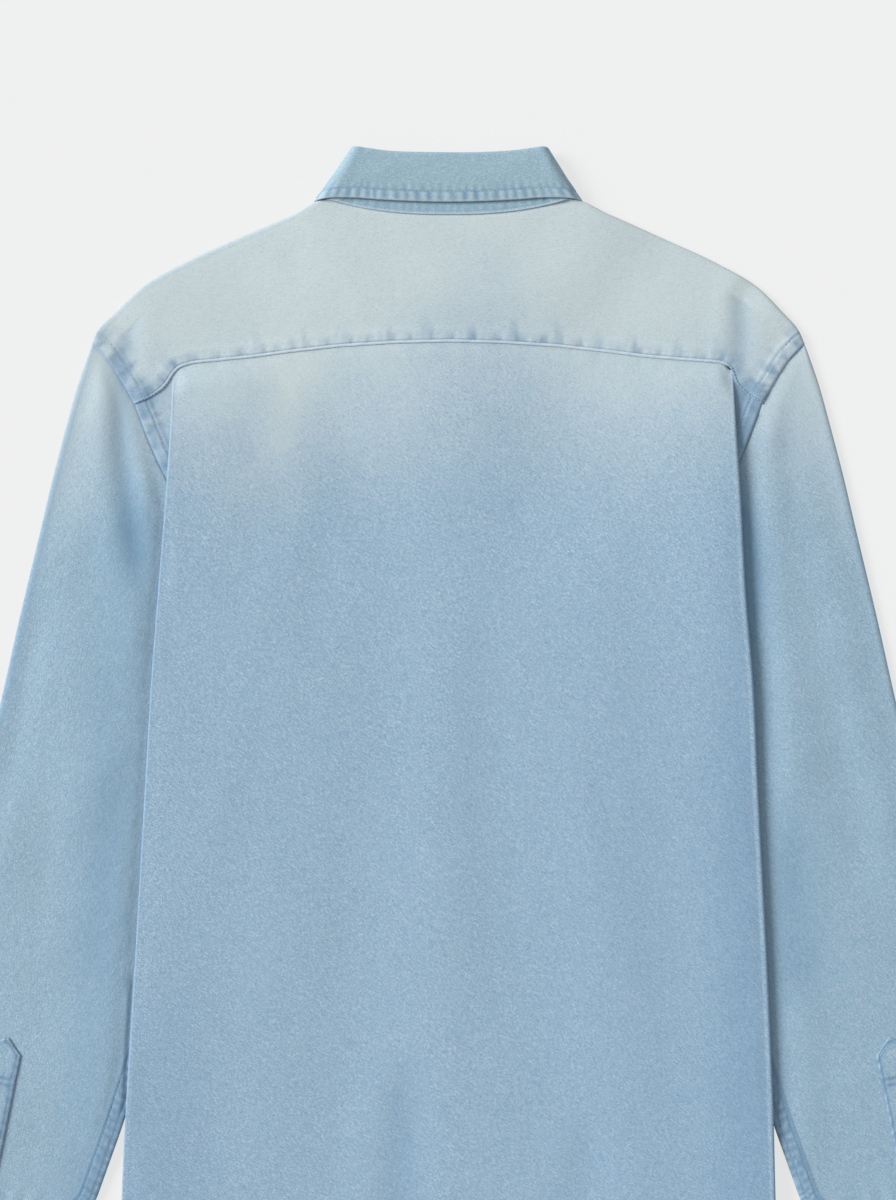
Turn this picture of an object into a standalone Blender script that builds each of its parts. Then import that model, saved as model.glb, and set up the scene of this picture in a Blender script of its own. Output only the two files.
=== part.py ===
"""Denim shirt, laid flat on a surface with its back up.

Every cloth piece is an open surface, worked out in millimetres from the sizes
and tables below, with a Solidify modifier for its wall. X runs across the
shirt, Y up to the collar, Z up from the surface that the shirt lies on. The
wearer's left is at -X. In the functions, x counts outward from the centre
line and side is -1 on the wearer's left and +1 on the right.
"""
import math

import bpy
from mathutils import Vector

# --------------------------------------------------------------- sizes, mm
MM = 0.001
CLOTH = 1.1            # wall of one ply of denim
LEAF_WALL = 1.4        # collar leaf, two plies and an interlining
STAND_WALL = 1.6       # collar stand
CUFF_WALL = 1.6        # cuff
SEAM_GAP = 0.3         # between pieces that meet edge to edge
LAYER = 1.5            # from the middle of one lying ply to the next
FLOOR_PLY = CLOTH / 2  # middle of a ply that lies on the surface
SLEEVE_TOP = 3.75      # middle of a sleeve's upper ply, clear of the body
SLEEVE_LIFT = 3.0      # rise of the sleeve's lower ply onto the front's fold
TOP_LIFT = 1.3         # rise of the sleeve's upper ply there
BACK_REST = 5.05       # middle of the back where it sags to the front
FOLD_RADIUS = 0.75     # pressed fold
CREASE_RADIUS = 1.9    # soft roll along the side of the back
FOLD_TOP = 259.4       # height at which the side fold starts
RAMP_START = 12.0      # from the fold to where the sleeve's plies slope down
RAMP = 40.0            # width of that slope
PANEL_HALF = 286.0     # half the back's cut width, straight from chest to hem
HEM_CENTRE = -417.5    # hem at the centre
HEM_RISE = 75.5        # by how much the shirt tail is cut up at the side seam
HEM_FLAT = 130.0       # half width of the straight stretch of the hem
BAND_HALF = 17.5       # half the front band's width
BAND_TOP = 306.0       # top of the front bands
BAND_LEVEL = {-1: 3.55, 1: 5.05}   # middle of the outer and of the inner band
COLLAR_LIFT = 3.4      # rise of the fronts over the collar's leaf
STAND_END = {-1: 3.95, 1: 5.95}    # middle of the stand's two ends
BUTTON_D = 11.5
BUTTON_T = 2.4
CUFF_W = 118.0         # buttoned cuff, laid flat
CUFF_L = 64.0
CUFF_TILT = 16.5       # degrees between the cuff's axis and the centre line
CUFF_CENTRE = (322.0, -321.5)
PLACKET_W = 22.0
PLACKET_TILT = 13.0
PLACKET_TIP = (309.2, -205.0)
PLACKET_POINT = 10.5   # length of the placket's pointed end


def table(columns, *rows):
    """Rows of numbers under named columns."""
    names = columns.split()
    return [dict(zip(names, row)) for row in rows]


# Shoulder fold and then the sleeve's outer fold, seen from above
OUTER_EDGE = table("y x", (381.2, 86.0), (370.5, 115.0), (353.2, 152.0),
                   (336.4, 188.3), (319.6, 216.8), (303.0, 233.4),
                   (289.5, 245.2), (280.5, 249.3), (269.2, 253.4),
                   (252.4, 259.4), (218.8, 268.4), (185.2, 277.2),
                   (151.6, 284.9), (118.0, 293.0), (84.4, 301.0),
                   (50.8, 308.4), (34.0, 312.2), (-60.0, 333.9),
                   (-160.0, 357.0), (-250.0, 377.8), (-283.0, 385.4),
                   (-304.7, 378.6))
# The sleeve's underarm fold
INNER_EDGE = table("y x", (107.5, 124.3), (60.0, 136.5), (0.0, 151.0),
                   (-100.0, 177.0), (-200.0, 206.0), (-269.9, 228.4),
                   (-323.5, 247.6), (-338.3, 265.4))
# Fold edge of the back beside each sleeve
CREASE = table("y left right", (259.4, 192.7, 199.3), (227.0, 194.1, 201.1),
               (171.2, 197.9, 204.9), (105.4, 203.2, 208.0),
               (42.4, 208.1, 213.7), (-31.9, 212.3, 216.8),
               (-153.7, 219.3, 223.2), (-248.9, 225.3, 227.3),
               (-311.9, 228.4, 228.7), (-417.5, 231.5, 231.5))
# Inner edge of the folded-in side: the fold down to the underarm, and the
# side seam below it
TUCK = table("y x", (259.4, 192.7), (108.2, 121.3), (-342.0, 167.5))
# Armhole seam, from the shoulder to the underarm
ARMHOLE = table("x y", (247.8, 280.0), (238.5, 270.0), (230.0, 256.5),
                (219.5, 238.5), (214.5, 225.0), (209.0, 211.0),
                (202.0, 195.0), (188.0, 170.0), (170.0, 147.0),
                (147.0, 124.0), (121.3, 108.2))
YOKE_END = 3           # armhole row where the yoke's seam meets it
STRIP_END = 2          # armhole row where the yoke ends on the front side
# Yoke stations: on the seam with the back, and on the neckline or shoulder
YOKE = table("x y top_x top_y shoulder",
             (0.0, 281.9, 0.0, 370.7, 0), (38.0, 281.0, 26.0, 371.3, 0),
             (76.0, 278.6, 50.0, 373.6, 0), (110.0, 274.8, 70.0, 377.4, 0),
             (137.0, 271.1, 86.0, 381.2, 1), (163.0, 268.3, 115.0, 370.5, 1),
             (180.0, 266.3, 152.0, 353.2, 1), (190.0, 262.0, 188.3, 336.4, 1),
             (196.0, 253.5, 216.8, 319.6, 1), (204.0, 246.0, 233.4, 303.0, 1),
             (211.5, 241.8, 245.2, 289.5, 1))
STRIP_NECK = (74.0, 350.0)   # front end of the yoke at the neckline
# Rows of the back down to the underarm: height at the fold, how far the
# fold has grown there, and how much the row still follows the yoke's seam
BACK_ROWS = table("y grown bend", (258.0, 0.0, 1.0), (245.0, 0.0, 0.8),
                  (228.0, 0.6, 0.55), (205.0, 1.0, 0.3), (180.0, 1.0, 0.1),
                  (155.0, 1.0, 0.0), (130.0, 1.0, 0.0), (108.2, 1.0, 0.0))
BACK_COLUMNS = (0.0, 0.2, 0.4, 0.58, 0.712, 0.846, 0.935)
# Rows of a front down to the underarm: start at the neckline or band, height
# at the fold, share of the shoulder seam or row of the armhole, fold's growth
FRONT_ROWS = table("x y fold_y shoulder armhole grown",
                   (74.0, 350.0, 0, 0.016, None, None),
                   (66.0, 333.0, 0, 0.15, None, None),
                   (45.0, 317.0, 0, 0.35, None, None),
                   (20.0, 308.0, 0, 0.60, None, None),
                   (17.8, 286.0, 0, 0.82, None, None),
                   (17.8, 262.0, 257.0, 1.0, None, None),
                   (17.8, 245.0, 245.0, None, 3, 0.0),
                   (17.8, 231.0, 231.0, None, 4, 0.0),
                   (17.8, 216.0, 216.0, None, 5, 0.6),
                   (17.8, 199.0, 199.0, None, 6, 1.0),
                   (17.8, 177.0, 177.0, None, 7, 1.0),
                   (17.8, 154.0, 154.0, None, 8, 1.0),
                   (17.8, 130.0, 130.0, None, 9, 1.0),
                   (17.8, 108.2, 108.2, None, 10, 1.0))
FRONT_COLUMNS = (0.0, 0.16, 0.40, 0.68, 0.88)
LOWER_ROWS = (60.0, 0.0, -70.0, -145.0, -220.0, -295.0)
# Collar: top of the stand, edge of the leaf, and the turn of the collar's
# outside from straight up (90) round the side of the neck to down (-90)
COLLAR = table("name top_x top_y edge_x edge_y edge_z turn",
               ("centre back", 0.0, 411.0, 0.0, 379.7, 13.0, 90),
               ("back 1", 26.0, 411.3, 26.0, 380.2, 13.0, 90),
               ("back 2", 45.0, 412.6, 50.0, 381.4, 13.0, 90),
               ("back 3", 55.5, 414.4, 70.0, 382.7, 12.9, 90),
               ("side 1", 60.0, 414.6, 86.0, 382.2, 12.2, 60),
               ("side 2", 61.5, 413.5, 96.0, 380.4, 7.2, 0),
               ("side 3", 60.5, 410.0, 95.9, 379.0, 1.5, -60),
               ("side 4", 58.0, 401.0, 91.0, 365.0, 0.72, -90),
               ("side 5", 54.0, 388.0, 82.0, 344.0, 0.72, -90),
               ("front 1", 48.0, 371.5, 75.0, 325.0, 0.72, -90),
               ("front 2", 35.0, 352.0, 64.0, 299.0, 0.72, -90),
               ("front 3", 16.0, 339.0, 56.0, 281.0, 0.72, -90),
               ("front end", 5.0, 336.5, 50.0, 268.0, 0.72, -90))
STAND_TAB = (-17.0, 334.0)   # top corner of the stand's lap past the centre
BUTTON_ROWS = (252.0, 158.0, 64.0, -30.0, -124.0, -218.0)

# ------------------------------------------------------------ small helpers


def ease(t):
    """0 to 1 with level ends."""
    t = max(0.0, min(1.0, t))
    return t * t * (3.0 - 2.0 * t)


def mix(a, b, t):
    return a + (b - a) * t


def mix_points(p, q, t):
    return tuple(mix(a, b, t) for a, b in zip(p, q))


def read(rows, key, at, column):
    """A column's value at a key that falls from row to row."""
    for upper, lower in zip(rows, rows[1:]):
        if at >= lower[key] or lower is rows[-1]:
            t = (upper[key] - at) / (upper[key] - lower[key])
            return mix(upper[column], lower[column], t)
    return rows[-1][column]


def crease_x(y, side):
    return read(CREASE, "y", min(y, FOLD_TOP), "left" if side < 0 else "right")


def tuck_x(y):
    return read(TUCK, "y", y, "x")


def outward(points, index):
    """Unit normal of a falling outline, on its outer side."""
    before = points[max(index - 1, 0)]
    after = points[min(index + 1, len(points) - 1)]
    dx, dy = after[0] - before[0], after[1] - before[1]
    length = math.hypot(dx, dy)
    return (-dy / length, dx / length)


def moved(points, distance):
    """The same outline moved sideways, outward if distance is positive."""
    result = []
    for index, point in enumerate(points):
        nx, ny = outward(points, index)
        result.append((point[0] + nx * distance, point[1] + ny * distance))
    return result


def armhole(piece_side):
    """Armhole points on the sleeve's (+1) or the body's (-1) edge."""
    return moved([(r["x"], r["y"]) for r in ARMHOLE],
                 piece_side * SEAM_GAP / 2)


# ------------------------------------------------------ heights of the plies


def ramp(x, y, side):
    """1 beneath the folded side of the body, 0 well outside it."""
    return 1.0 - ease((x - crease_x(y, side) - RAMP_START) / RAMP)


def landed(y):
    """0 near the cuff, where the sleeve is back on the surface."""
    return ease((y + 325.0) / 55.0)


def sleeve_low(x, y, side):
    fold_on = 1.0 - ease((y - 225.0) / 33.0)
    return FLOOR_PLY + SLEEVE_LIFT * ramp(x, y, side) * fold_on * landed(y)


def sleeve_high(x, y, side):
    return SLEEVE_TOP + TOP_LIFT * ramp(x, y, side) * landed(y)


def front_level(x, y, side):
    """Middle of a front, raised over its buttons and over the collar."""
    placket = (BAND_LEVEL[side] - FLOOR_PLY) * (
        1.0 - ease((x - BAND_HALF) / 55.0))
    collar = COLLAR_LIFT * ease((y - 236.0) / 28.0) * (
        1.0 - ease((x - 97.0) / 45.0))
    return FLOOR_PLY + max(placket, collar)


def crease_radius(y):
    return FOLD_RADIUS + (CREASE_RADIUS - FOLD_RADIUS) * ease(
        (245.0 - y) / 40.0)


def back_level(x, y, row_y, side):
    """Middle of the back and yoke away from the fold itself."""
    from_neck = math.hypot(x / 1.25, y - 385.0)
    neck = 2.95 * (1.0 - ease((from_neck - 72.0) / 60.0))
    placket = 1.8 * (1.0 - ease(x / 85.0))
    rest = BACK_REST + max(neck, placket)
    if row_y > FOLD_TOP:
        return rest - TOP_LIFT * (1.0 - ramp(x, y, side))
    grown = ease((FOLD_TOP - row_y) / 14.0)
    edge = crease_x(row_y, side)
    rise = 2 * LAYER * grown * ease((x - tuck_x(row_y) + 50.0) / 45.0)
    roll = (2 * crease_radius(row_y) - LAYER) * grown * ease(
        (x - edge + 28.0) / 26.0)
    return rest + rise + roll


def hem_y(along):
    """Height of the hem, by the distance along the cut from the centre."""
    return HEM_CENTRE + HEM_RISE * ease(
        (along - HEM_FLAT) / (PANEL_HALF - HEM_FLAT))


# ----------------------------------------------------------- making objects


def material(name, colour, roughness):
    made = bpy.data.materials.new(name)
    made.use_nodes = True
    shader = made.node_tree.nodes["Principled BSDF"]
    shader.inputs["Base Color"].default_value = (*colour, 1.0)
    shader.inputs["Roughness"].default_value = roughness
    shader.inputs["Metallic"].default_value = 0.0
    made.diffuse_color = (*colour, 1.0)
    return made


DENIM = {"body": (0.305, 0.445, 0.570), "pale": (0.540, 0.660, 0.720),
         "collar": (0.320, 0.455, 0.545), "button": (0.620, 0.630, 0.610)}


def sheet(name, rows, wall, colour, collection):
    """A cloth surface through rows of points (mm), with its wall."""
    vertices, index, faces = [], {}, []
    for r, row in enumerate(rows):
        for c, point in enumerate(row):
            if point is not None:
                index[r, c] = len(vertices)
                vertices.append([value * MM for value in point])
    for r in range(len(rows) - 1):
        for c in range(len(rows[r]) - 1):
            corners = [(r, c), (r + 1, c), (r + 1, c + 1), (r, c + 1)]
            if all(corner in index for corner in corners):
                faces.append([index[corner] for corner in corners])
    return surface(name, vertices, faces, wall, colour, collection)


def surface(name, vertices, faces, wall, colour, collection):
    import bmesh
    mesh = bpy.data.meshes.new(name)
    mesh.from_pydata(vertices, [], faces)
    work = bmesh.new()
    work.from_mesh(mesh)
    bmesh.ops.remove_doubles(work, verts=work.verts, dist=0.00002)
    loose = [v for v in work.verts if not v.link_faces]
    bmesh.ops.delete(work, geom=loose, context="VERTS")
    bmesh.ops.recalc_face_normals(work, faces=work.faces)
    work.to_mesh(mesh)
    work.free()
    made = bpy.data.objects.new(name, mesh)
    collection.objects.link(made)
    mesh.shade_smooth()
    mesh.set_sharp_from_angle(angle=math.radians(50))
    made.data.materials.append(material("mat_" + name, DENIM[colour], 0.85))
    solid = made.modifiers.new("wall", "SOLIDIFY")
    solid.thickness = wall * MM
    solid.offset = 0.0
    solid.use_even_offset = True
    return made


def to_side(points, side):
    return [None if p is None else (side * p[0], p[1], p[2]) for p in points]


# ------------------------------------------------------- the folded-in sides


def fold_section(side, y, grown, ply, top, radius, seam=None):
    """Eight points through the side fold at one height, from the panel's
    main ply to its lowest (ply +1, the back) or highest (-1, the front)."""
    edge = crease_x(y, side)
    depth = (edge - tuck_x(y)) * grown
    at = max(y, TUCK[1]["y"])
    level = sleeve_high if ply > 0 else sleeve_low
    rest = level(crease_x(at, side), at, side)
    middle = rest + ply * LAYER
    if grown == 0.0:
        shares = ((-2.4, 1.0), (-1.5, 0.96), (-0.8, 0.86), (-0.4, 0.70),
                  (-0.1, 0.50), (0.3, 0.30), (1.0, 0.12), (2.0, 0.0))
        return [(edge + x, y, mix(rest, top, share)) for x, share in shares]
    points = []
    for degrees in (90, 45, 0, -45, -90):
        turn = math.radians(degrees)
        points.append((edge - radius + radius * math.cos(turn), y,
                       middle + ply * radius * (1.0 + math.sin(turn))))
    inner = edge - depth
    end = rest if seam is None else seam
    points.append((mix(edge - radius, inner, 0.5), y, middle))
    points.append((inner, y, middle))
    points.append((inner, y, end))
    return points


def back_side(side):
    """Rows of half the back, from the centre out through the fold."""
    hole = armhole(-1)
    seam_y = [(r["x"], r["y"]) for r in YOKE]
    rows = []
    for j, row in enumerate(BACK_ROWS):
        y = row["y"]
        radius = crease_radius(y)
        top = back_level(crease_x(y, side) - radius, y, y, side)
        width = 190.0 if j == 0 else crease_x(y, side) - radius
        line = []
        for k, share in enumerate(BACK_COLUMNS):
            x = width * share if j else seam_y[k][0]
            above = seam_y[k][1] - seam_y[7][1]
            gap = SEAM_GAP if j == 0 else 0.0
            at_y = y + above * row["bend"] - gap + (4.0 if j == 0 else 0.0)
            line.append((x, at_y, back_level(x, at_y, y, side)))
        station = hole[YOKE_END + j]
        if j == 0:
            level = sleeve_high(193.0, y, side)
            for step in range(8):
                x, at = mix_points(seam_y[7], seam_y[8], step / 7.0)
                line.append((x - 0.5, at - 2 * SEAM_GAP, level))
            for x, at in (seam_y[9], seam_y[10]):
                line.append((x - 0.1, at - SEAM_GAP,
                             sleeve_high(x, at, side)))
            line.append((station[0], station[1] - SEAM_GAP,
                         sleeve_high(*station, side)))
        else:
            fold = fold_section(side, y, row["grown"], 1, top, radius)
            line += fold
            for step in (1, 2, 3):
                x, at = mix_points(fold[-1][:2], station, step / 3.0)
                line.append((x, at, sleeve_high(x, at, side)))
            if j == len(BACK_ROWS) - 1:
                line[-3:] = [fold[-1]] * 3
        rows.append(line)
    count = len(rows[0])
    last = LOWER_ROWS[-1]
    for step, y in enumerate(LOWER_ROWS + (None, None)):
        at = last if y is None else y
        radius = crease_radius(at)
        edge = crease_x(at, side)
        top = back_level(edge - radius, at, at, side)
        line = [((edge - radius) * share, at, back_level(
            (edge - radius) * share, at, at, side)) for share in BACK_COLUMNS]
        line += fold_section(side, at, 1.0, 1, top, radius,
                             seam=SEAM_LEVEL + SEAM_GAP / 2)
        if y is None:
            line = to_hem(line, side, edge, 0.5 if step == len(
                LOWER_ROWS) else 1.0)
        rows.append(line + [None] * (count - len(line)))
    return [to_side(line, side) for line in rows]


SEAM_LEVEL = 4.3       # where the back's and the front's side seams meet


def to_hem(line, side, edge, share):
    """A row brought down to the shirt tail's curve."""
    result = []
    crease = len(line) - 6
    for c, (x, y, z) in enumerate(line):
        along = x if c <= crease else 2 * edge - x
        hem = hem_y(along)
        low_y = mix(y, hem, share)
        shift = crease_x(low_y, side) - edge
        result.append((x + shift * (x / edge), low_y, z))
    return result


def front_side(side):
    """Rows of a front, from the band or neckline out through the fold."""
    hole = armhole(-1)
    rows = []
    for row in FRONT_ROWS:
        x0, y0 = row["x"], row["y"]
        if row["armhole"] is None:
            outer = strip_seam(row["shoulder"], -SEAM_GAP)
        else:
            outer = hole[row["armhole"]]
        if row["shoulder"] is not None and row["shoulder"] < 1.0:
            fold_xy = mix_points((x0, y0), outer, 0.84)
        else:
            fold_xy = (crease_x(row["fold_y"], side), row["fold_y"])
        line = []
        for share in FRONT_COLUMNS:
            x, y = mix_points((x0, y0), fold_xy, share)
            if share == 0.0 and y0 > BAND_TOP:
                y -= SEAM_GAP
            line.append((x, y, front_level(x, y, side)))
        if row["grown"] is None or row["armhole"] == 3:
            start = mix_points((x0, y0), fold_xy, 0.985)
            end = mix_points(fold_xy, outer, 0.1)
            if row["grown"] is None:
                start = end = fold_xy
            for step in range(8):
                x, y = mix_points(start, end, step / 7.0)
                low = front_level(x, y, side)
                high = max(low, sleeve_low(x, y, side))
                line.append((x, y, mix(low, high, step / 7.0)))
        else:
            y = row["fold_y"]
            line += fold_section(side, y, row["grown"], -1,
                                 front_level(fold_xy[0], y, side), FOLD_RADIUS)
        joint = line[-1]
        for step in (1, 2):
            x, y = mix_points(joint[:2], outer, step / 2.0)
            level = sleeve_low(x, y, side)
            if row["grown"] is None:
                level = max(level, front_level(x, y, side))
            line.append((x, y, level))
        if row["armhole"] == len(ARMHOLE) - 1:
            line[-2:] = [joint] * 2
        rows.append(line)
    count = len(rows[0])
    for step, y in enumerate(LOWER_ROWS + (None, None)):
        at = LOWER_ROWS[-1] if y is None else y
        edge = crease_x(at, side)
        line = []
        for share in FRONT_COLUMNS:
            x = mix(17.8, edge - FOLD_RADIUS, share)
            line.append((x, at, front_level(x, at, side)))
        line += fold_section(side, at, 1.0, -1, FLOOR_PLY, FOLD_RADIUS,
                             seam=SEAM_LEVEL - SEAM_GAP / 2)
        if y is None:
            line = to_hem(line, side, edge, 0.5 if step == len(
                LOWER_ROWS) else 1.0)
            line[0] = (17.8, line[0][1], line[0][2])
        rows.append(line + [None] * (count - len(line)))
    return [to_side(line, side) for line in rows]


# ---------------------------------------------------------------------- yoke


def strip_seam(share, gap=0.0):
    """The yoke's seam with the front, from the neckline to the armhole."""
    end = armhole(-1)[STRIP_END]
    x, y = mix_points(STRIP_NECK, end, share)
    dx, dy = end[0] - STRIP_NECK[0], end[1] - STRIP_NECK[1]
    length = math.hypot(dx, dy)
    return (x - dy / length * gap, y + dx / length * gap)


def shoulder_roll(k, side):
    """Upper, outer and lower points where the yoke turns over the shoulder."""
    line = [(r["top_x"], r["top_y"]) for r in YOKE if r["shoulder"]]
    line.append((249.3, 280.5))
    index = k - 4
    nx, ny = outward(line, index)
    x, y = line[index]
    high = back_level(x, y, y, side)
    low = front_level(x, y, side)
    if index == len(line) - 1:
        high, low = sleeve_high(x, y, side), FLOOR_PLY
    radius = (high - low) / 2
    in_x, in_y = x - nx * radius, y - ny * radius
    if index == len(line) - 1:
        in_x, in_y = armhole(-1)[0]
    return ((in_x, in_y, high), (x, y, (high + low) / 2), (in_x, in_y, low))


def yoke_side(side):
    """Columns of half the yoke: seam, three rows up, roll, front strip."""
    hole = armhole(-1)
    columns = []
    for k, row in enumerate(YOKE):
        low = (row["x"], row["y"])
        if row["shoulder"]:
            high, outer, under = shoulder_roll(k, side)
        else:
            high = (row["top_x"], row["top_y"],
                    back_level(row["top_x"], row["top_y"], 400.0, side))
        column = [(*low, back_level(*low, 400.0, side))]
        for share in (0.36, 0.70):
            x, y = mix_points(low, high[:2], share)
            column.append((x, y, back_level(x, y, 400.0, side)))
        column.append(high)
        if row["shoulder"]:
            share = (row["top_x"] - 86.0) / (249.3 - 86.0)
            end = strip_seam(share)
            column += [outer, under]
            middle = mix_points(under[:2], end, 0.5)
            for x, y in (middle, end):
                column.append((x, y, front_level(x, y, side)))
        else:
            column += [None] * 4
        columns.append(column)
    high, outer, under = shoulder_roll(len(YOKE), side)
    column = []
    for station in (hole[3], hole[2], hole[1]):
        column.append((*station, sleeve_high(*station, side)))
    column += [high, outer, under]
    for station in (hole[1], hole[2]):
        column.append((*station, sleeve_low(*station, side)))
    columns.append(column)
    return [to_side(column, side) for column in columns]


# ------------------------------------------------------------------- sleeves


def edge_point(rows, share, first, last):
    """A point along an edge, by its share of the edge's length."""
    line = [(r["x"], r["y"]) for r in rows][first:last]
    steps = [math.dist(p, q) for p, q in zip(line, line[1:])]
    want = share * sum(steps)
    for (p, q), step in zip(zip(line, line[1:]), steps):
        if want <= step:
            return mix_points(p, q, want / step)
        want -= step
    return line[-1]


SLEEVE_ROWS = (0.0, 0.09, 0.2, 0.33, 0.47, 0.61, 0.75, 0.88)


def sleeve_side(side):
    """Rows of a sleeve, each once round the tube."""
    hole = armhole(1)
    hole[-1] = (INNER_EDGE[0]["x"], INNER_EDGE[0]["y"])
    chord = [(p[0] - hole[0][0]) / (hole[-1][0] - hole[0][0]) for p in hole]
    start = next(i for i, r in enumerate(OUTER_EDGE) if r["y"] == 280.5)
    rows = []
    for share in SLEEVE_ROWS + (None, 1.0):
        if share is None:
            out, inn = (385.4, -283.0), (247.6, -323.5)
            bend = 0.0
        elif share == 1.0:
            out, inn = (378.6, -304.4), (265.4, -338.0)
            bend = 0.0
        else:
            out = edge_point(OUTER_EDGE, share, start, -1)
            inn = edge_point(INNER_EDGE, share, 0, -1)
            bend = 1.0 - share
        nx, ny = 0.974, 0.225
        upper, lower = [], []
        radius_out = (SLEEVE_TOP - FLOOR_PLY) / 2
        tangent = (out[0] - nx * radius_out, out[1] - ny * radius_out)
        if share == 0.0:
            tangent = hole[0]
        for k, part in enumerate(chord):
            x, y = mix_points(tangent, inn, part)
            if bend > 0.0:
                sx, sy = mix_points(hole[0], hole[-1], part)
                x += (hole[k][0] - sx) * bend ** 1.5
                y += (hole[k][1] - sy) * bend ** 1.5
            upper.append((x, y, sleeve_high(x, y, side)))
            lower.append((x, y, sleeve_low(x, y, side)))
        fold = (upper[-1][2] - lower[-1][2]) / 2
        apex_in = (inn[0] - 0.95 * fold, inn[1] - 0.3 * fold,
                   lower[-1][2] + fold)
        if share == 0.0:
            apex_in = (inn[0] - 0.5, inn[1], lower[-1][2] + fold)
        apex_out = (out[0], out[1], lower[0][2] + radius_out)
        if share == 0.0:
            apex_out = (out[0], out[1] - 2 * SEAM_GAP, apex_out[2])
        loop = [apex_out] + upper + [apex_in] + lower[::-1]
        rows.append(to_side(loop, side))
    return rows


def tube(name, rows, wall, colour, collection):
    """A sleeve's surface: rows joined round and along."""
    count = len(rows[0])
    vertices = [[v * MM for v in point] for row in rows for point in row]
    faces = []
    for r in range(len(rows) - 1):
        for c in range(count):
            d = (c + 1) % count
            faces.append([r * count + c, (r + 1) * count + c,
                          (r + 1) * count + d, r * count + d])
    return surface(name, vertices, faces, wall, colour, collection)


def cuff_rows(side):
    """A cuff, once round from its upper lap to its lower one."""
    tilt = math.radians(CUFF_TILT)
    axis = (math.sin(tilt), -math.cos(tilt))
    across = (-math.cos(tilt), -math.sin(tilt))
    half = CUFF_W / 2
    low, high, lap = CUFF_WALL / 2, 2.9, 4.95
    turn = (high - low) / 2
    section = [(-0.5, lap), (-21.0, lap), (-38.0, high), (-half + turn, high)]
    section += [(-half, low + turn), (-half + turn, low), (0.0, low),
                (half - turn, low), (half, low + turn), (half - turn, high)]
    section += [(10.0, high), (-19.0, high)]
    rows = []
    for share in (0.0, 0.5, 1.0):
        x0 = CUFF_CENTRE[0] + axis[0] * (SEAM_GAP + CUFF_L * share)
        y0 = CUFF_CENTRE[1] + axis[1] * (SEAM_GAP + CUFF_L * share)
        rows.append(to_side([(x0 + across[0] * c, y0 + across[1] * c, z)
                             for c, z in section], side))
    return rows


def placket_rows(side):
    """A sleeve placket, made from the sleeve's upper ply and moved up."""
    tilt = math.radians(PLACKET_TILT)
    down = (math.sin(tilt), -math.cos(tilt))
    out = (math.cos(tilt), math.sin(tilt))
    half = PLACKET_W / 2
    tip = PLACKET_TIP
    rows = []
    for along, width in ((0.0, 0.0), (PLACKET_POINT, half), (30.0, half),
                         (60.0, half), (98.0, half)):
        line = []
        for c in (-1.0, 0.0, 1.0):
            x = tip[0] + down[0] * along + out[0] * width * c
            y = tip[1] + down[1] * along + out[1] * width * c
            line.append((x, y, sleeve_high(x, y, side) + CLOTH + SEAM_GAP))
        rows.append(to_side(line, side))
    return rows


# -------------------------------------------------------------------- collar


def collar_foot(k, side):
    """The neckline beneath a collar station, from the yoke's or front's
    points."""
    columns = yoke_side(side)
    if k <= 3:
        point = columns[k][3]
    elif k <= 8:
        point = columns[4][k - 1]
    else:
        row = FRONT_ROWS[k - 8]
        point = (side * row["x"], row["y"],
                 front_level(row["x"], row["y"], side))
    return (side * point[0], point[1], point[2])


def collar_stations(side):
    """Foot, top and edge of the collar at each station, with the stand's
    direction and the side that the leaf lies on."""
    made = []
    for k, row in enumerate(COLLAR):
        if k == len(COLLAR) - 1:
            foot = (5.0, BAND_TOP + 0.3, STAND_END[side])
        else:
            foot = collar_foot(k, side)
        top = (row["top_x"], row["top_y"])
        dx, dy = top[0] - foot[0], top[1] - foot[1]
        length = math.hypot(dx, dy)
        along = Vector((dx / length, dy / length, 0.0))
        turn = math.radians(row["turn"])
        lean = Vector((along.y * math.cos(turn), -along.x * math.cos(turn),
                       math.sin(turn)))
        level = foot[2]
        if side > 0 and row["name"] == "front 3":
            level = 5.3
        made.append({"foot": Vector((foot[0], foot[1], level)),
                     "top": Vector((top[0], top[1], level)),
                     "edge": Vector((row["edge_x"], row["edge_y"],
                                     row["edge_z"])),
                     "along": along, "lean": lean, "turn": row["turn"]})
    return made


def stand_rows():
    """The stand, from its left lap round the neck to its right lap."""
    halves = {}
    for side in (-1, 1):
        rows = []
        for station in collar_stations(side):
            along = station["along"]
            foot = station["foot"] + along * 0.55
            top = station["top"] - along * 2 * SEAM_GAP
            rows.append([foot, foot.lerp(top, 0.5), top])
        tab = Vector((STAND_TAB[0], BAND_TOP + 0.6, STAND_END[side]))
        corner = Vector((STAND_TAB[0] + 3.0, STAND_TAB[1], STAND_END[side]))
        rows.append([tab, tab.lerp(corner, 0.5), corner])
        halves[side] = [to_side([tuple(p) for p in row], side)
                        for row in rows]
    return halves[-1][::-1] + halves[1][1:]


def leaf_rows():
    """The leaf: from the stand's top over the roll and down to its edge."""
    halves = {}
    for side in (-1, 1):
        rows = []
        for station in collar_stations(side):
            top, edge = station["top"], station["edge"]
            along, lean = station["along"], station["lean"]
            radius = abs(edge.z - top.z) / 2
            if abs(station["turn"]) < 90:
                radius = mix(1.55, 2.5, (1.0 + lean.z) / 2)
            start = top + along * 1.5 * SEAM_GAP
            centre = start + lean * radius
            line = []
            for degrees in (0, 50, 90, 130, 180):
                angle = math.radians(degrees)
                line.append(centre - lean * radius * math.cos(angle)
                            + along * radius * math.sin(angle))
            bulge = 2.0 * max(0.0, math.sin(math.radians(station["turn"])))
            for share in (0.35, 0.7, 1.0):
                point = line[4].lerp(edge, share)
                point += Vector((0, 0, bulge * math.sin(math.pi * share)))
                line.append(point)
            rows.append(line)
        halves[side] = [to_side([tuple(p) for p in row], side)
                        for row in rows]
    return halves[-1][::-1] + halves[1][1:]


# --------------------------------------------------------- bands and buttons


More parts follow.
